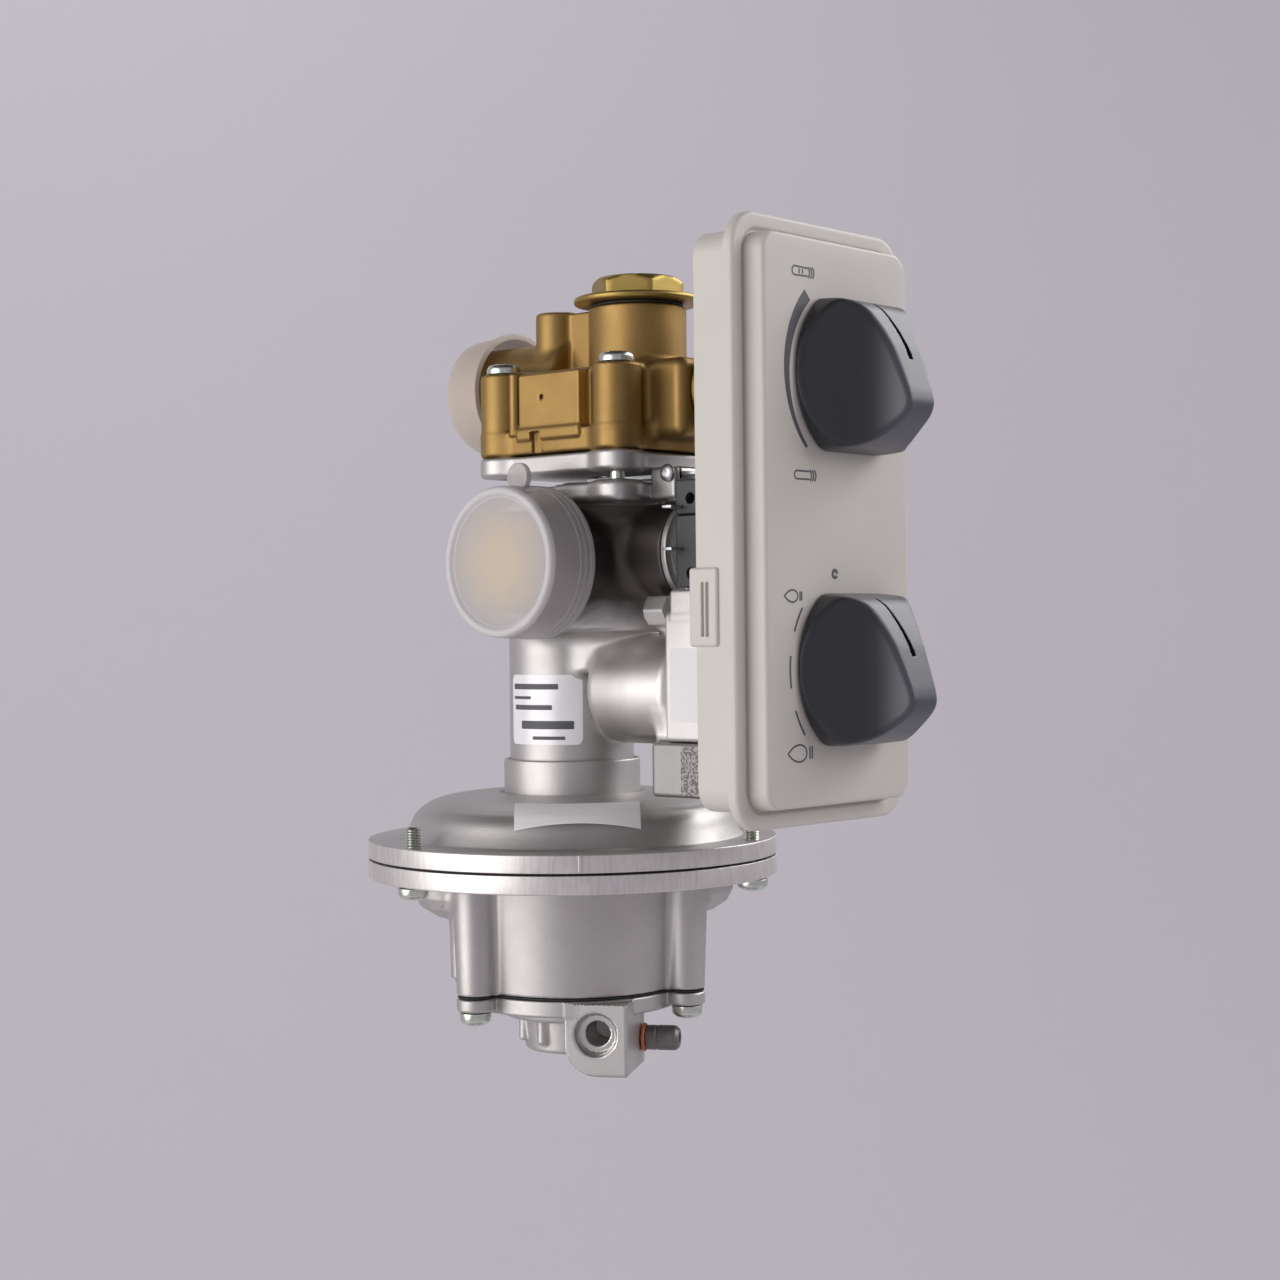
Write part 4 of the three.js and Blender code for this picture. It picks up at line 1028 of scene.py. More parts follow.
KNOB_SIDE = np.array([
    (-18.7, 6), (-17.3, 11.5), (-15, 15.2), (-12.5, 18.6), (-10.4, 20.8), (-8, 21.8), (-5, 21.2),
    (0, 19.4), (5.7, 17.2), (10, 14.9), (14.5, 12), (16.3, 10.4), (18.2, 7), (18.9, 3.5), (19.0, 0),
])
GROOVE_TOP, GROOVE_END = 17.0, 3.0
KNOB_WIDTH = np.array([
    (-3, 27), (0, 23.5), (1.6, 21.4), (3, 19.2), (5, 16.2), (7.5, 12.9), (10, 10.3), (13.5, 8.0), (17, 6.5),
    (21, 5.5), (27, 5.1),
])


def eased(table, width):
    """A table of values drawn as straight lines, evened out by a running mean over so many
    millimetres, so that it has no corners."""
    at = np.arange(table[0, 0], table[-1, 0] + 0.05, 0.1)
    value = np.interp(at, table[:, 0], table[:, 1])
    reach = int(width / 0.1)
    kernel = np.hanning(2 * reach + 3)[1:-1]
    before = 2 * value[0] - value[reach:0:-1]
    after = 2 * value[-1] - value[-2 : -reach - 2 : -1]
    padded = np.concatenate([before, value, after])
    return np.stack([at, np.convolve(padded, kernel / kernel.sum(), "valid")], -1)


KNOB_SIDE, KNOB_WIDTH = eased(KNOB_SIDE, 2.2), eased(KNOB_WIDTH, 3.0)


def pointer(x, z, half):
    """How far a point lies outside the pointer's width: the line bends aside towards its top and
    widens by 0.6 towards its lower end, from half at the top."""
    run = np.clip((GROOVE_TOP - z) / (GROOVE_TOP - GROOVE_END), 0, 1)
    return np.abs(x + 2.2 * (1 - run) ** 2) - half - 0.6 * run


def knob_field(centre_z):
    """A wedge-shaped grip: the smaller of a round base, a length profile and a width profile that
    sweeps in towards the ridge, with soft edges, less the tapered pointer groove."""

    def field(p):
        x, z = p[0] - KNOB_X, p[2] - centre_z
        up = KNOB_SEAT - p[1]
        side = np.interp(z, KNOB_SIDE[:, 0], KNOB_SIDE[:, 1])
        lean = np.interp(z, KNOB_SIDE[:, 0], np.gradient(KNOB_SIDE[:, 1], KNOB_SIDE[:, 0]))
        along = (up - side) / np.sqrt(1 + lean**2)
        half = np.interp(up, KNOB_WIDTH[:, 0], KNOB_WIDTH[:, 1])
        lean = np.interp(up, KNOB_WIDTH[:, 0], np.gradient(KNOB_WIDTH[:, 1], KNOB_WIDTH[:, 0]))
        across = (np.abs(x) - half) / np.sqrt(1 + lean**2)
        base = np.hypot(x, z) - 22.4
        body = soft_max(soft_max(along, across, 1.6), base, 1.2)
        body = soft_max(soft_max(body, np.abs(z) - 18.9, 1.2), -up, 0.3)
        bore = edge(np.hypot(x, z) - 3.4, up - 12.5, 0.1)
        body = soft_max(body, -bore, 0.3)
        ends = np.maximum(z - GROOVE_TOP, GROOVE_END - z)
        groove = np.maximum(np.maximum(pointer(x, z, 0.25), ends), side - 1.0 - up)
        return soft_max(body, -groove, 0.12)

    return field


def groove_finish(centre_z):
    """Black inside the pointer groove, and the knob's own finish elsewhere."""

    def finish(points):
        x, z, up = points[:, 0] - KNOB_X, points[:, 2] - centre_z, KNOB_SEAT - points[:, 1]
        side = np.interp(z, KNOB_SIDE[:, 0], KNOB_SIDE[:, 1])
        along = (z < GROOVE_TOP + 0.1) & (z > GROOVE_END - 0.1)
        return (along & (pointer(x, z, 0.38) < 0) & (up < side - 0.12) & (up > side - 2)).astype(int)

    return finish


def printed(shape, outline):
    """A flat printed mark on the panel's raised front: a strip between two chains of (x, z) points,
    given thickness."""
    left, right = (np.asarray(side, float) for side in outline)
    front, back = PANEL_FRONT - 0.04, PANEL_FRONT + 0.1
    chains = [(left, front), (right, front), (right, back), (left, back)]
    points = np.stack([np.stack([c[:, 0], np.full(len(c), y), c[:, 1]], -1) for c, y in chains], 1)
    first, last = points[0].mean(0), points[-1].mean(0)
    return shape.grid(points, True, False, first, last)


def stroke(shape, points, width):
    """A printed line of a given width along a chain of (x, z) points; width may change along it."""
    points = np.asarray(points, float)
    run = np.gradient(points, axis=0)
    run /= np.linalg.norm(run, axis=1)[:, None]
    side = np.stack([-run[:, 1], run[:, 0]], -1) * (np.broadcast_to(width, len(points))[:, None] / 2)
    return printed(shape, (points + side, points - side))


def arc(centre, radius, start, end, steps=24):
    a = np.radians(np.linspace(start, end, steps))
    return np.stack([centre[0] + radius * np.cos(a), centre[1] + radius * np.sin(a)], -1)


def panel_marks(sizes):
    """The panel's printed marks: the selector's tapering arc, two spray heads with their jets, a small
    ring, two flames with two bars each, and the three strokes round the power knob."""
    thin, bold = sizes.thin_line / MM, sizes.bold_line / MM
    marks = Shape()
    path = arc((KNOB_X, SELECTOR_Z), 25.2, 131.5, 226.0, 48)
    stroke(marks, path, np.linspace(sizes.arc_top / MM, sizes.arc_tail / MM, 48))
    for z, small in ((203.6, 1.0), (154.3, 0.9)):
        stroke(marks, arc((-18.6, z), 1.1 * small, 90, 270, 10), thin)
        for sign in (1, -1):
            stroke(marks, [(-18.6, z + sign * 1.1 * small), (-13.6, z + sign * 0.95)], thin)
        for k in range(3):
            stroke(marks, arc((-14.4 + 0.9 * k, z), 1.6, -55, 55, 8), bold)
    for x in (-16.9, -15.6):
        stroke(marks, [(x, 203.0), (x, 204.2)], bold)
    stroke(marks, arc((-3.7, 130.5), 0.9, 0, 330, 16), 0.9)
    half = [(-1.55, 0), (-0.9, 0.5), (0.0, 0.72), (0.7, 0.45), (0.9, 0.0)]
    flame = half + [(a, -b) for a, b in half[-2::-1]]
    for (x, z), size in (((-20.6, 125.0), 2.2), ((-18.4, 87.0), 3.1)):
        stroke(marks, rounded([(a * size + x, b * size + z, 0.3 * size) for a, b in flame], 3), thin)
        for off in (1.25, 1.55):
            stroke(marks, [(x + off * size, z + 0.5 * size), (x + off * size, z - 0.5 * size)], bold)
    for start, end in ((143, 158), (172, 190), (203, 219)):
        stroke(marks, arc((KNOB_X, POWER_Z), 25.0, start, end, 12), 0.6)
    return marks


# ---------------------------------------------------------------- labels


def tag_shape(half_width, half_height, corner, thick, bevel, centre, ring_steps):
    """A flat label on a face that looks to -X: a rounded rectangle lofted through its thickness, with
    its two faces drawn in by the bevel."""
    small = (half_width - bevel, half_height - bevel, corner - bevel)
    full = (half_width, half_height, corner)
    rows = [(*small, 0, 0), (*full, 0, 0.02), (*full, thick, 0.03), (*small, thick, 0)]
    return Shape().loft(rows, centre, Y, Z, -X, 2, 0, ring_steps)


def neck_patch(start, end, low, high, inner, outer, corner):
    """A rectangle wrapped round the neck, given thickness: angle across, height up, radius through.
    Towards its two ends it is trimmed by a quarter circle at each corner."""
    a = np.radians(np.linspace(start, end, 40))
    rise = np.linspace(0, 1, 40)
    bend = np.clip(np.minimum(rise, 1 - rise) * abs(end - start) * 0.3 / corner, 0, 1)
    trim = corner * (1 - np.sqrt(1 - (1 - bend) ** 2))
    walls = ((inner, low + trim), (outer, low + trim), (outer, high - trim), (inner, high - trim))
    points = np.stack([np.stack([r * np.cos(a), r * np.sin(a), z], -1) for r, z in walls], 1)
    return points, True, False, points[0].mean(0), points[-1].mean(0)


def dome_strip(facing):
    """A narrow strip laid over the dome's shoulder. Its points are spaced across and down the strip;
    the lower edge rises in a hollow curve to its middle, and each point takes the radius at which the
    dome's profile has its height."""
    across = np.linspace(-1, 1, 48)
    table_z = np.array([64.5, 67.0, 69.4, 71.2, 72.3, 72.8])
    table_r = np.array([44.7, 43.7, 41.9, 38.4, 34.0, 30.0])
    a = math.radians(facing)
    right, ahead = np.array([-math.sin(a), math.cos(a)]), np.array([math.cos(a), math.sin(a)])
    upper, lower = [], []
    for t in np.linspace(0, 1, 10):
        z = 72.0 - t * (6.2 - 1.9 * (1 - across**2))
        radius = np.interp(z, table_z, table_r)
        side = 16.3 * across + 1.2
        depth = np.sqrt(np.maximum(radius**2 - side**2, 1))
        place = side[:, None] * right + depth[:, None] * ahead
        upper.append(np.concatenate([place, (z + 0.32)[:, None]], 1))
        lower.append(np.concatenate([place, (z + 0.12)[:, None]], 1))
    points = np.stack(upper + lower[::-1], 1)
    return Shape().grid(points, True, False, points[0].mean(0), points[-1].mean(0))


# ---------------------------------------------------------------- settings


def colour(name, description, default):
    return bpy.props.FloatVectorProperty(
        name=name, description=description, subtype="COLOR", size=3, min=0, max=1, default=default)


def length(name, description, millimetres):
    return bpy.props.FloatProperty(
        name=name, description=description, default=millimetres * MM, min=0.0, precision=5,
        subtype="DISTANCE", unit="LENGTH")


class ValveSizes(bpy.types.PropertyGroup):
    """Sizes that can change without disturbing what the frame holds."""

    plug_flats: length("Filter plug", "Width across the flats of the brass filter plug", 22.0)
    gland_flats: length("Gland nut", "Width across the flats of the selector's gland nut", 19.0)
    nut_flats: length("Small nut", "Width across the flats of the nut on the tap head", 7.5)
    flange_screw_head: length("Flange screw head", "Radius of the screw heads under the flange", 4.1)
    cover_screw_head: length("Cover screw head", "Radius of the screw heads under the bottom cover", 4.2)
    arc_top: length("Arc, wide end", "Width of the printed arc at its upper end", 3.3)
    arc_tail: length("Arc, narrow end", "Width of the printed arc at its lower end", 0.9)
    thin_line: length("Thin line", "Width of the outlines of the printed marks", 0.45)
    bold_line: length("Bold line", "Width of the bars of the printed marks", 0.5)


class ValveColours(bpy.types.PropertyGroup):
    """Base colours of the valve's finishes."""

    aluminium: colour("Aluminium", "Blasted aluminium castings", (0.56, 0.545, 0.525))
    brass: colour("Cast brass", "Hot-pressed body of the water section", (0.375, 0.24, 0.083))
    turned_brass: colour("Turned brass", "Plug, nipple and gland nut", (0.40, 0.29, 0.085))
    zinc: colour("Zinc", "Passivated screws and the small nut", (0.72, 0.72, 0.61))
    panel: colour("Panel", "Ivory moulding of the control panel", (0.665, 0.64, 0.575))
    knob: colour("Knobs", "Slate grey moulding of the knobs", (0.020, 0.022, 0.027))


class ValveStage(bpy.types.PropertyGroup):
    """Floor, light and camera."""

    floor_drop: bpy.props.FloatProperty(
        name="Floor drop", description="How far the floor lies under the lowest point", default=0.62,
        min=0.0, subtype="DISTANCE", unit="LENGTH")
    bowl_radius: bpy.props.FloatProperty(
        name="Backdrop radius", description="Radius of the pale backdrop round the object", default=2.2,
        min=1.0, subtype="DISTANCE", unit="LENGTH")
    key_power: bpy.props.FloatProperty(
        name="Key light", description="Power of the large light on the left", default=9.8, min=0.0)
    fill: bpy.props.FloatProperty(
        name="Surroundings", description="Brightness of the backdrop's own even light", default=0.18, min=0.0)


# ---------------------------------------------------------------- operators


class Builder:
    """What every building step shares."""

    bl_options = {"REGISTER", "UNDO"}


class VALVE_OT_finishes(Builder, bpy.types.Operator):
    """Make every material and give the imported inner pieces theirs"""

    bl_idname = "valve.finishes"
    bl_label = "Finishes"

    def execute(self, context):
        make_finishes(context.scene.valve_colours)
        inner = {
            "casting": ["regulator_plate"],
            "steel": ["regulator_stem", "regulator_spring", "gas_valve_spring", "magnet_spring",
                      "magnet_armature", "push_rod", "water_filter", "switch_lever"],
            "turned_brass": ["flow_cone", "tap_plug", "rod_gland", "diaphragm_plate"],
            "rubber": ["cover_gasket", "water_diaphragm", "gas_valve_disc", "filter_seal", "selector_seal"],
            "dark": ["switch_plunger", "magnet_coil"],
        }
        for finish, nodes in inner.items():
            for node in nodes:
                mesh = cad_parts[node].data
                mesh.materials.clear()
                mesh.materials.append(FINISHES[finish])
        return {"FINISHED"}


class VALVE_OT_regulator(Builder, bpy.types.Operator):
    """Build the two regulator housings, the diaphragm's edge, the bottom cover and its port"""

    bl_idname = "valve.regulator"
    bl_label = "Pressure regulator"

    def execute(self, context):
        build("regulator_dome", top_housing_shape(), "root", ("casting", "rim"), "cast_aluminium",
              ["regulator_top_housing"])
        flange = Shape().turn([
            (41.5, 55.7, 0), (41.5, 51.8, 0), (29, 51.8, 0), (29, 50.9, 0), (44.5, 50.8, 0), (56, 50.8, 0.45),
            (56, 55.7, 0.2),
        ], steps=192, ring=True, finish=lambda r, t: int(r > 55.5 and t > 50.9))
        build("lower_flange", flange, "root", ("casting", "rim"), "cast_aluminium")
        build_cast("regulator_cup", lower_housing_field, (-45.5, -45.5, 20), (45.5, 45.5, 51.4), 0.62,
                   "casting", "cast_aluminium", ["regulator_lower_housing"])
        edge_ring = Shape().turn([
            (5.6, 55.7, 0), (34, 55.7, 1), (36.5, 57.5, 1), (39, 55.7, 1), (54.6, 55.75, 0.2),
            (54.6, 56.25, 0.2), (39.3, 56.3, 1), (36.5, 58.3, 1), (33.7, 56.3, 1), (5.6, 56.3, 0),
        ], steps=160, ring=True)
        build("diaphragm_edge", edge_ring, "root", "rubber", "black_rubber", ["regulator_diaphragm"])
        build_cast("bottom_cover_casting", bottom_cover_field, (-39, -39, 0), (39, 39, 19.7), 0.5,
                   ("casting", "machined"), "cast_aluminium", ["bottom_cover"], chosen=port_face_finish)
        x, y = polar(30.4, 131.5)
        plug = Shape().turn([
            (0, 20.9, 0), (0.9, 20.9, 0.1), (1.1, 21.6, 0.1), (1.5, 21.6, 0.1), (1.7, 20.9, 0.1),
            (2.5, 20.9, 0.3), (2.6, 25.4, 0.2), (0, 25.4, 0),
        ], (x, y, 0), Z, 32)
        build("vent_screw", plug, "root", "casting_dark", "cast_aluminium", ["vent_plug"])
        return {"FINISHED"}


class VALVE_OT_port(Builder, bpy.types.Operator):
    """Build the grey plug beside the test port and its orange seal"""

    bl_idname = "valve.port"
    bl_label = "Port plug"

    def execute(self, context):
        a = math.radians(PORT_TURN)
        ahead = np.array([math.cos(a), math.sin(a), 0])
        side = np.array([-math.sin(a), math.cos(a), 0])
        at = ahead * 9 + Z * 7.4
        seal = Shape().turn([(2.2, 20.95, 0.3), (3.8, 20.95, 0.45), (3.8, 21.9, 0.45), (2.2, 21.9, 0.3)],
                            at, side, 48, ring=True)
        build("orange_seal", seal, "root", "orange", "orange_rubber", ["port_plug_seal"])
        rows = [
            (0, 15, 0), (1.8, 15, 0.2), (1.8, 22, 0), (3.3, 22.1, 0.15), (3.35, 24.6, 0.1), (3.2, 24.8, 0.1),
            (3.2, 25.1, 0.1), (3.35, 25.3, 0.1), (3.35, 30.0, 0.6), (2.4, 31.05, 0.3), (1.3, 31.05, 0.1),
            (1.2, 29.4, 0.1), (0, 29.4, 0),
        ]
        plug = Shape().turn(rows, at, side, 48)
        build("grey_plug", plug, "root", "grey_steel", "steel", ["port_plug"])
        return {"FINISHED"}


class VALVE_OT_screws(Builder, bpy.types.Operator):
    """Build the pan-head screws of the flanges, the bottom cover, the brass body and the bracket"""

    bl_idname = "valve.screws"
    bl_label = "Screws"

    def execute(self, context):
        sizes = context.scene.valve_sizes
        for i, angle in enumerate(SCREW_ANGLES, 1):
            x, y = polar(BOLT_CIRCLE, angle)
            head = sizes.flange_screw_head / MM
            screw(f"flange_screw_{i}", screw_shape((x, y, 50.5), head, 3.0, 2.0, 16.0, 9.0))
            x, y = polar(COVER_CIRCLE, angle)
            head = sizes.cover_screw_head / MM
            screw(f"cover_screw_{i}", screw_shape((x, y, 15.9), head, 3.4, 1.6, 14.0, 1.0))
        for i, (x, y) in enumerate(CORNERS, 1):
            reach = 35.0 if y < WATER_Y else 27.4
            shape = Shape().turn([
                (0, -reach, 0), (1.9, -reach, 0.3), (1.9, 0, 0), (4.6, 0, 0.2), (4.6, 1.5, 0.5),
                (3.9, 2.5, 0.5), (1.7, 2.65, 0.2), (1.3, 1.2, 0.2), (0, 0.9, 0),
            ], (x, y, 186.3), Z, 48)
            screw(f"water_screw_{i}", shape)
        for i, (x, z) in enumerate(((-4, 81.2), (POST_X, POST_Z)), 1):
            shape = Shape().turn([
                (0, -7, 0), (1.7, -7, 0.2), (1.7, 0, 0), (3.6, 0, 0.2), (3.6, 1.1, 0.5), (2.8, 2.15, 0.5),
                (1.2, 2.2, 0.2), (1.0, 1.0, 0.1), (0, 0.9, 0),
            ], (x, -76.5, z), -Y, 32)
            screw(f"bracket_screw_{i}", shape)
        return {"FINISHED"}


class VALVE_OT_gas_section(Builder, bpy.types.Operator):
    """Build the gas body, the outlet nipple, the barrel's cover, the tap head and the small nut"""

    bl_idname = "valve.gas_section"
    bl_label = "Gas section"

    def execute(self, context):
        sizes = context.scene.valve_sizes
        build_cast("gas_casting", gas_body_field, (-28, -75, 74), (35, 18, 160), 0.72,
                   "gas_casting", "cast_aluminium", ["gas_body"])
        thread = np.arange(28.6, 39.4, 0.55)
        rows = [(9, 20, 0), (11.7, 20, 0), (11.7, 27.4, 0), (13.0, 27.4, 0.2)]
        rows += [(13.2 - 0.5 * (i % 2), t, 0) for i, t in enumerate(thread)]
        rows += [(12.6, 40, 0.2), (9, 40, 0.4)]
        nipple = Shape().turn(rows, OUTLET_AXIS, -X, 72, ring=True)
        build("brass_nipple", nipple, "root", "turned_brass", "turned_brass", ["outlet_nipple"])
        cover = Shape().turn([
            (0, 44.8, 0), (13.6, 44.8, 0.2), (13.6, 46.5, 0.5), (11.2, 46.5, 0.2), (10.9, 46.2, 0.1),
            (0, 46.2, 0),
        ], (0, 0, BARREL_Z), -Y, 72)
        build("magnet_cover", cover, "root", "casting", "cast_aluminium", ["barrel_cover"])
        build_cast("tap_head_block", tap_head_field, (-15.2, -75, 88), (21.5, -46.5, 128), 0.55,
                   "pale", "pale_zinc_block", ["tap_head"])
        seat = (NUT_X, PIN_Y, NUT_Z)
        nut = Shape().sides(6, sizes.nut_flats / MM, 0, 7, seat, Y)
        nut.turn([(0, 6.9, 0), (1.9, 6.9, 0.1), (1.9, 7.7, 0.3), (0, 7.9, 0)], seat, Y, 24)
        build("small_nut", nut, "root", "pale", "zinc_screws", ["head_nut"])
        for node, r, z, finish, slot, body_name in (
            ("tap_spindle", 3.0, POWER_Z, "steel", "steel", "power"),
            ("selector_spindle", 2.6, SELECTOR_Z, "turned_brass", "turned_brass", "selector"),
        ):
            low, high = extent(node)
            rear, front = -high[1], -low[1]
            rows = [
                (0, rear, 0), (r, rear, 0.4), (r, rear + 14, 0), (r - 0.35, rear + 14.3, 0),
                (r - 0.35, rear + 15.2, 0), (r, rear + 15.5, 0), (r, front, 0.4), (0, front, 0),
            ]
            shape = Shape().turn(rows, (KNOB_X, 0, z), -Y, 40)
            build(node + "_turned", shape, body_name, finish, slot, [node])
        return {"FINISHED"}


class VALVE_OT_switch(Builder, bpy.types.Operator):
    """Build the microswitch, its terminals and the head of the lever's pin"""

    bl_idname = "valve.switch"
    bl_label = "Microswitch"

    def execute(self, context):
        build_cast("microswitch", switch_field, (-15, -61, 127.8), (1, -51, 155.4), 0.4,
                   "dark", "dark_plastic", ["switch_body"])
        for i, z in enumerate((148.4, 137.7), 1):
            blade = Shape().brick((-19.5, -53.6, z - 0.4), (-15.2, -50.4, z + 0.4), 0.25)
            build(f"terminal_{i}", blade, "root", "steel", "steel", [f"switch_terminal_{i}"])
        pin = Shape().turn([
            (0, -12.6, 0), (1, -12.6, 0.2), (1, 12.3, 0), (2.3, 12.3, 0.2), (2.3, 13.0, 0.4),
            (1.2, 13.6, 0.5), (0, 13.6, 0),
        ], (0, PIN_Y, PIN_Z), -X, 40)
        build("pin_with_head", pin, "root", "steel", "steel", ["lever_pin"])
        return {"FINISHED"}


class VALVE_OT_water_section(Builder, bpy.types.Operator):
    """Build the brass body, the diaphragm cover, the filter plug and the gland nut"""

    bl_idname = "valve.water_section"
    bl_label = "Water section"

    def execute(self, context):
        sizes = context.scene.valve_sizes
        build_cast("brass_body", water_body_field, (-27, -52, 164), (39, 31, 204), 0.62,
                   "brass", "cast_brass", ["water_body"])
        build_cast("diaphragm_cover_casting", diaphragm_cover_field, (-27, -43, 158), (27, 12, 164), 0.55,
                   "casting", "cast_aluminium", ["diaphragm_cover"])
        plug = Shape().turn([
            (0, 198.8, 0), (9.2, 198.8, 0.4), (9.2, 204, 0), (16.8, 204, 0.3), (17.2, 204.9, 0.5),
            (16.8, 205.7, 0.4), (11, 205.9, 0), (0, 205.9, 0),
        ], FILTER_AXIS, Z, 96)
        plug.sides(6, sizes.plug_flats / MM, 205.7, 210.9, FILTER_AXIS)
        build("hexagon_plug", plug, "root", "turned_brass", "turned_brass", ["filter_plug"])
        gland = Shape().turn([
            (3, 48.6, 0), (4.7, 48.6, 0.3), (4.7, 51.3, 0), (11.5, 51.3, 0.3), (11.5, 54.1, 0.5),
            (3, 54.2, 0),
        ], SELECTOR_AXIS, -Y, 64, ring=True)
        gland.sides(6, sizes.gland_flats / MM, 54.0, 58.5, SELECTOR_AXIS, -Y, bore=3.0)
        build("gland_nut", gland, "root", "turned_brass", "turned_brass", ["selector_gland_nut"])
        return {"FINISHED"}


class VALVE_OT_caps(Builder, bpy.types.Operator):
    """Build the two milky push-on caps"""

    bl_idname = "valve.caps"
    bl_label = "Push-on caps"

    def execute(self, context):
        rows = [
            (0, 42.4, 0), (16.6, 42.4, 0.5), (17.6, 43.5, 0.5), (19.0, 43.5, 0.9), (19.6, 42, 0.6),
            (19.8, 33.2, 0), (20, 33.0, 0.1), (20, 32.0, 0.1), (19.7, 31.8, 0.1), (19.7, 31.2, 0.1),
            (20, 31, 0.1), (20, 30, 0.1), (19.7, 29.8, 0.1), (19.7, 29.2, 0.1), (20, 29, 0.1),
            (20, 27.6, 0.3), (18.6, 27.6, 0.3),
            (18.3, 41.0, 0.6), (0, 41.2, 0),
        ]
        cap = Shape().turn(rows, OUTLET_AXIS, -X, 128, finish=lambda r, t: int(t > 41.9 and r > 16.4))
        rows = [
            (3.3, 3.4, 3.2, -0.9, 0), (3.6, 3.7, 3.5, -0.9, 0.3), (3.6, 3.7, 3.5, 0.9, 0.3),
            (3.3, 3.4, 3.2, 0.9, 0),
        ]
        cap.loft(rows, (-34.8, WATER_Y, OUTLET_Z + 22.1), Y, Z, X, 4, 0, 8)
        build("outlet_cap_milky", cap, "outlet_cap", ("milky_outlet", "milky_rim"), "milky_plastic",
              ["outlet_cap"])
        rows = [
            (0, 32.6, 0), (15.2, 32.6, 1.2), (16.0, 31.0, 0.5), (16.7, 20.6, 0.1), (17.3, 20.2, 0.3),
            (17.3, 19, 0.4), (15.6, 19, 0.4), (15.0, 31.2, 0.8), (0, 31.4, 0),
        ]
        cap = Shape().turn(rows, (0, 0, PORT_Z), Y, 112)
        build("water_cap_milky", cap, "water_cap", "milky", "milky_plastic", ["water_cap"])
        return {"FINISHED"}


class VALVE_OT_panel(Builder, bpy.types.Operator):
    """Build the control panel, its clip pad, its printed marks and the bracket behind it"""

    bl_idname = "valve.panel"
    bl_label = "Control panel"

    def execute(self, context):
        build("ivory_panel", panel_shape(), "root", "ivory", "ivory_plastic", ["control_panel"])
        build_cast("panel_clip", clip_field, (-36.9, -82.6, 113), (-33, -73.8, 132), 0.22,
                   "ivory", "ivory_plastic")
        marks = panel_marks(context.scene.valve_sizes)
        build("printed_marks", marks, "root", "ink", "dark_plastic", sharp=30)
        plate = Shape().brick((-27, -76.2, 76), (25, -74.9, 204), 0.3)
        build("bracket_plate", plate, "root", "steel", "steel", ["panel_bracket"])
        return {"FINISHED"}


class VALVE_OT_knobs(Builder, bpy.types.Operator):
    """Build the two wedge-shaped knobs"""

    bl_idname = "valve.knobs"
    bl_label = "Knobs"

    def execute(self, context):
        for node, z, body in (("selector_knob", SELECTOR_Z, "selector"), ("power_knob", POWER_Z, "power")):
            build_cast(node + "_grip", knob_field(z), (-20, -115.6, z - 19), (26, -93.4, z + 19), 0.38,
                       ("slate", "groove"), "slate_plastic", [node], body, groove_finish(z))
        return {"FINISHED"}


class VALVE_OT_labels(Builder, bpy.types.Operator):
    """Lay the plain labels on the neck, the dome, the tap head and the foot"""

    bl_idname = "valve.labels"
    bl_label = "Plain labels"

    def execute(self, context):
        facing = 223.3
        neck = Shape().grid(*neck_patch(facing - 68, facing + 10, 86.6, 105.4, 16.9, 17.12, 1.6))
        build("neck_foil", neck, "root", "foil", "cast_aluminium")
        bars = Shape()
        for start, end, z, tall in (
            (-64, -12, 102.2, 1.5), (-64, -40, 99.2, 0.8), (-62, -18, 96.6, 1.3), (-52, 2, 91.9, 2.2),
            (-38, -6, 88.4, 0.9),
        ):
            low, high = z - tall / 2, z + tall / 2
            bars.grid(*neck_patch(facing + start, facing + end, low, high, 17.13, 17.16, 0.05))
        build("neck_print", bars, "root", "ink", "cast_aluminium")
        build("dome_strip", dome_strip(facing), "root", "paper", "cast_aluminium")
        tag = tag_shape(6.8, 9.4, 1.4, 0.12, 0.2, (-15.0, -55.6, 103.0), 6)
        build("tap_head_label", tag, "root", "paper", "pale_zinc_block")
        tag = tag_shape(6.3, 6.3, 0.6, 0.1, 0.1, (-15.0, -58.5, 81.2), 4)
        build("foot_label", tag, "root", "speckled", "pale_zinc_block")
        return {"FINISHED"}


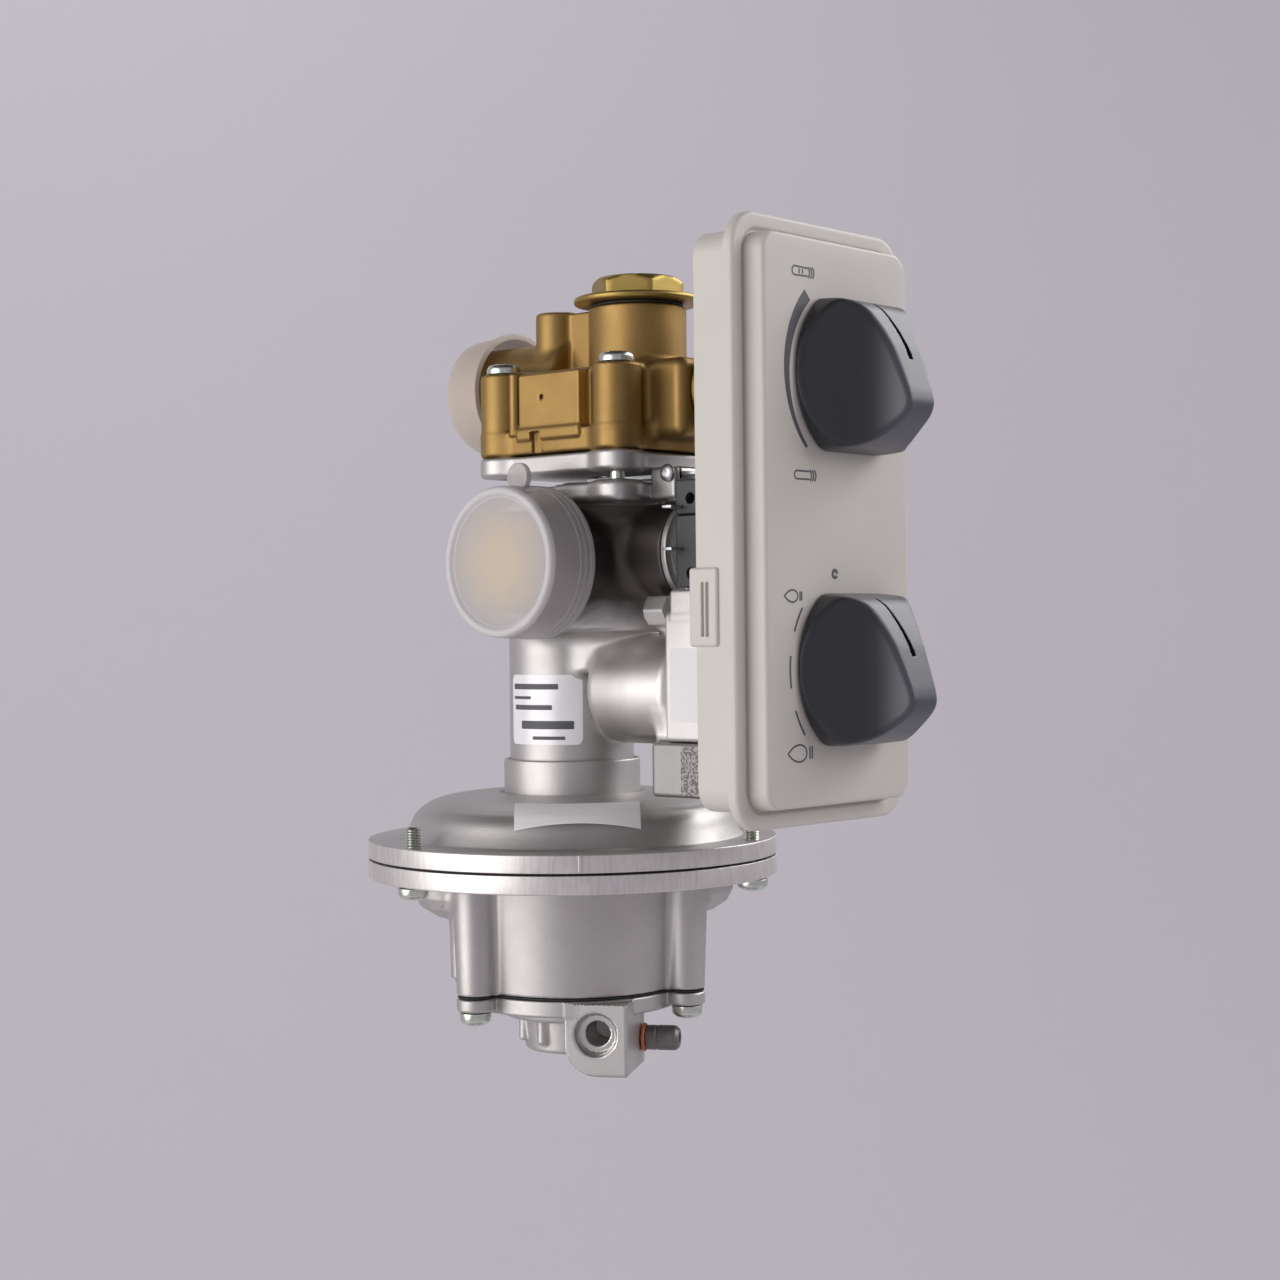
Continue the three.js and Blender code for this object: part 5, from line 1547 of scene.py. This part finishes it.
class VALVE_OT_stage(Builder, bpy.types.Operator):
    """Lay the floor, hang the lights and place the camera"""

    bl_idname = "valve.stage"
    bl_label = "Stage, light and camera"

    def execute(self, context):
        settings = context.scene.valve_stage
        base = packed_box[0][2] - settings.floor_drop
        r, rise = settings.bowl_radius / MM, 3200.0
        shape = Shape().turn([(0, 0, 0), (300, 0, 0), (r, 0, 1200), (r, rise, 0)],
                             Z * (base / MM + DATUM), Z, 96, corner=20)
        floor = bpy.data.meshes.new("backdrop")
        floor.from_pydata(((np.concatenate(shape.points) - [0, 0, DATUM]) * MM).tolist(), [], shape.faces)
        floor.shade_smooth()
        f = Finish("pale_backdrop", roughness=0.9, emission_color=(0.93, 0.90, 0.96, 1),
                   emission_strength=settings.fill)
        cloud = f.ramp(f.noise(60, 2), 0.35, 0.7) * 0.04
        f.set("Base Color", f.mix(cloud, (0.52, 0.495, 0.53, 1), (0.56, 0.53, 0.57, 1)))
        f.relief(f.noise(2.0, 2), 0.02, 0.2)
        floor.materials.append(f.material)
        backdrop = bpy.data.objects.new("backdrop", floor)
        context.scene.collection.objects.link(backdrop)

        middle = (0.0, 0.0, 0.12)
        lights = (
            ("key", (-1.15, 0.35, 0.2), middle, 1.3, 1.0, (1.0, 0.985, 0.97)),
            ("front", (0.75, -1.0, 0.75), middle, 0.9, 0.62, (0.99, 0.985, 1.0)),
            ("edge", (1.0, -0.25, 0.8), middle, 0.8, 0.55, (1.0, 0.99, 0.98)),
            ("wash", (0.6, 1.0, 1.6), (0.9, 2.2, 0.2), 0.8, 0.6, (1.0, 0.99, 1.0)),
        )
        for name, place, target, size, share, tint in lights:
            lamp = bpy.data.lights.new(name, "AREA")
            lamp.shape, lamp.size, lamp.color = "DISK", size, tint
            lamp.energy = settings.key_power * share
            thing = bpy.data.objects.new(name, lamp)
            thing.location = place
            thing.rotation_mode = "QUATERNION"
            thing.rotation_quaternion = (Vector(target) - Vector(place)).to_track_quat("-Z", "Y")
            context.scene.collection.objects.link(thing)
        world = bpy.data.worlds.new("room")
        world.use_nodes = True
        sky = world.node_tree.nodes["Background"]
        sky.inputs["Color"].default_value = (0.93, 0.91, 0.96, 1)
        sky.inputs["Strength"].default_value = 0.05
        context.scene.world = world
        context.scene.view_settings.view_transform = "Standard"

        camera = bpy.data.cameras.new("camera")
        camera.sensor_width, camera.lens = 36.0, 62.55
        camera.clip_start, camera.clip_end = 0.01, 20
        viewer = bpy.data.objects.new("camera", camera)
        context.scene.collection.objects.link(viewer)
        pitch, roll = math.radians(0.3), math.radians(0.6)
        level = Vector((0.7485, 0.6632, 0)).normalized()
        ahead = (level * math.cos(pitch) - Vector((0, 0, 1)) * math.sin(pitch)).normalized()
        right = ahead.cross(Vector((0, 0, 1))).normalized()
        up = right.cross(ahead)
        tilted = up * math.cos(roll) + right * math.sin(roll)
        side = ahead.cross(tilted).normalized()
        turn = Matrix((side, tilted, -ahead)).transposed()
        viewer.matrix_world = Matrix.Translation(Vector((-445.7, -420.3, 114.8)) * MM) @ turn.to_4x4()
        context.scene.camera = viewer
        return {"FINISHED"}


STEPS = (
    VALVE_OT_finishes,
    VALVE_OT_regulator,
    VALVE_OT_port,
    VALVE_OT_screws,
    VALVE_OT_gas_section,
    VALVE_OT_switch,
    VALVE_OT_water_section,
    VALVE_OT_caps,
    VALVE_OT_panel,
    VALVE_OT_knobs,
    VALVE_OT_labels,
    VALVE_OT_stage,
)


class VALVE_PT_sidebar(bpy.types.Panel):
    """Lists the steps that build the valve"""

    bl_label = "Gas valve"
    bl_idname = "VALVE_PT_sidebar"
    bl_space_type = "VIEW_3D"
    bl_region_type = "UI"
    bl_category = "Valve"

    def draw(self, context):
        layout = self.layout
        scene = context.scene
        for group in (scene.valve_sizes, scene.valve_colours, scene.valve_stage):
            column = layout.column()
            for name in group.__annotations__:
                column.prop(group, name)
        for step in STEPS:
            layout.operator(step.bl_idname)


CLASSES = (ValveSizes, ValveColours, ValveStage, *STEPS, VALVE_PT_sidebar)


def register():
    for cls in CLASSES:
        bpy.utils.register_class(cls)
    bpy.types.Scene.valve_sizes = bpy.props.PointerProperty(type=ValveSizes)
    bpy.types.Scene.valve_colours = bpy.props.PointerProperty(type=ValveColours)
    bpy.types.Scene.valve_stage = bpy.props.PointerProperty(type=ValveStage)


def unregister():
    del bpy.types.Scene.valve_stage
    del bpy.types.Scene.valve_colours
    del bpy.types.Scene.valve_sizes
    for cls in reversed(CLASSES):
        bpy.utils.unregister_class(cls)


def main():
    register()
    for step in STEPS:
        group, name = step.bl_idname.split(".")
        getattr(getattr(bpy.ops, group), name)()
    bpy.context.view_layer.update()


if __name__ == "__main__":
    main()
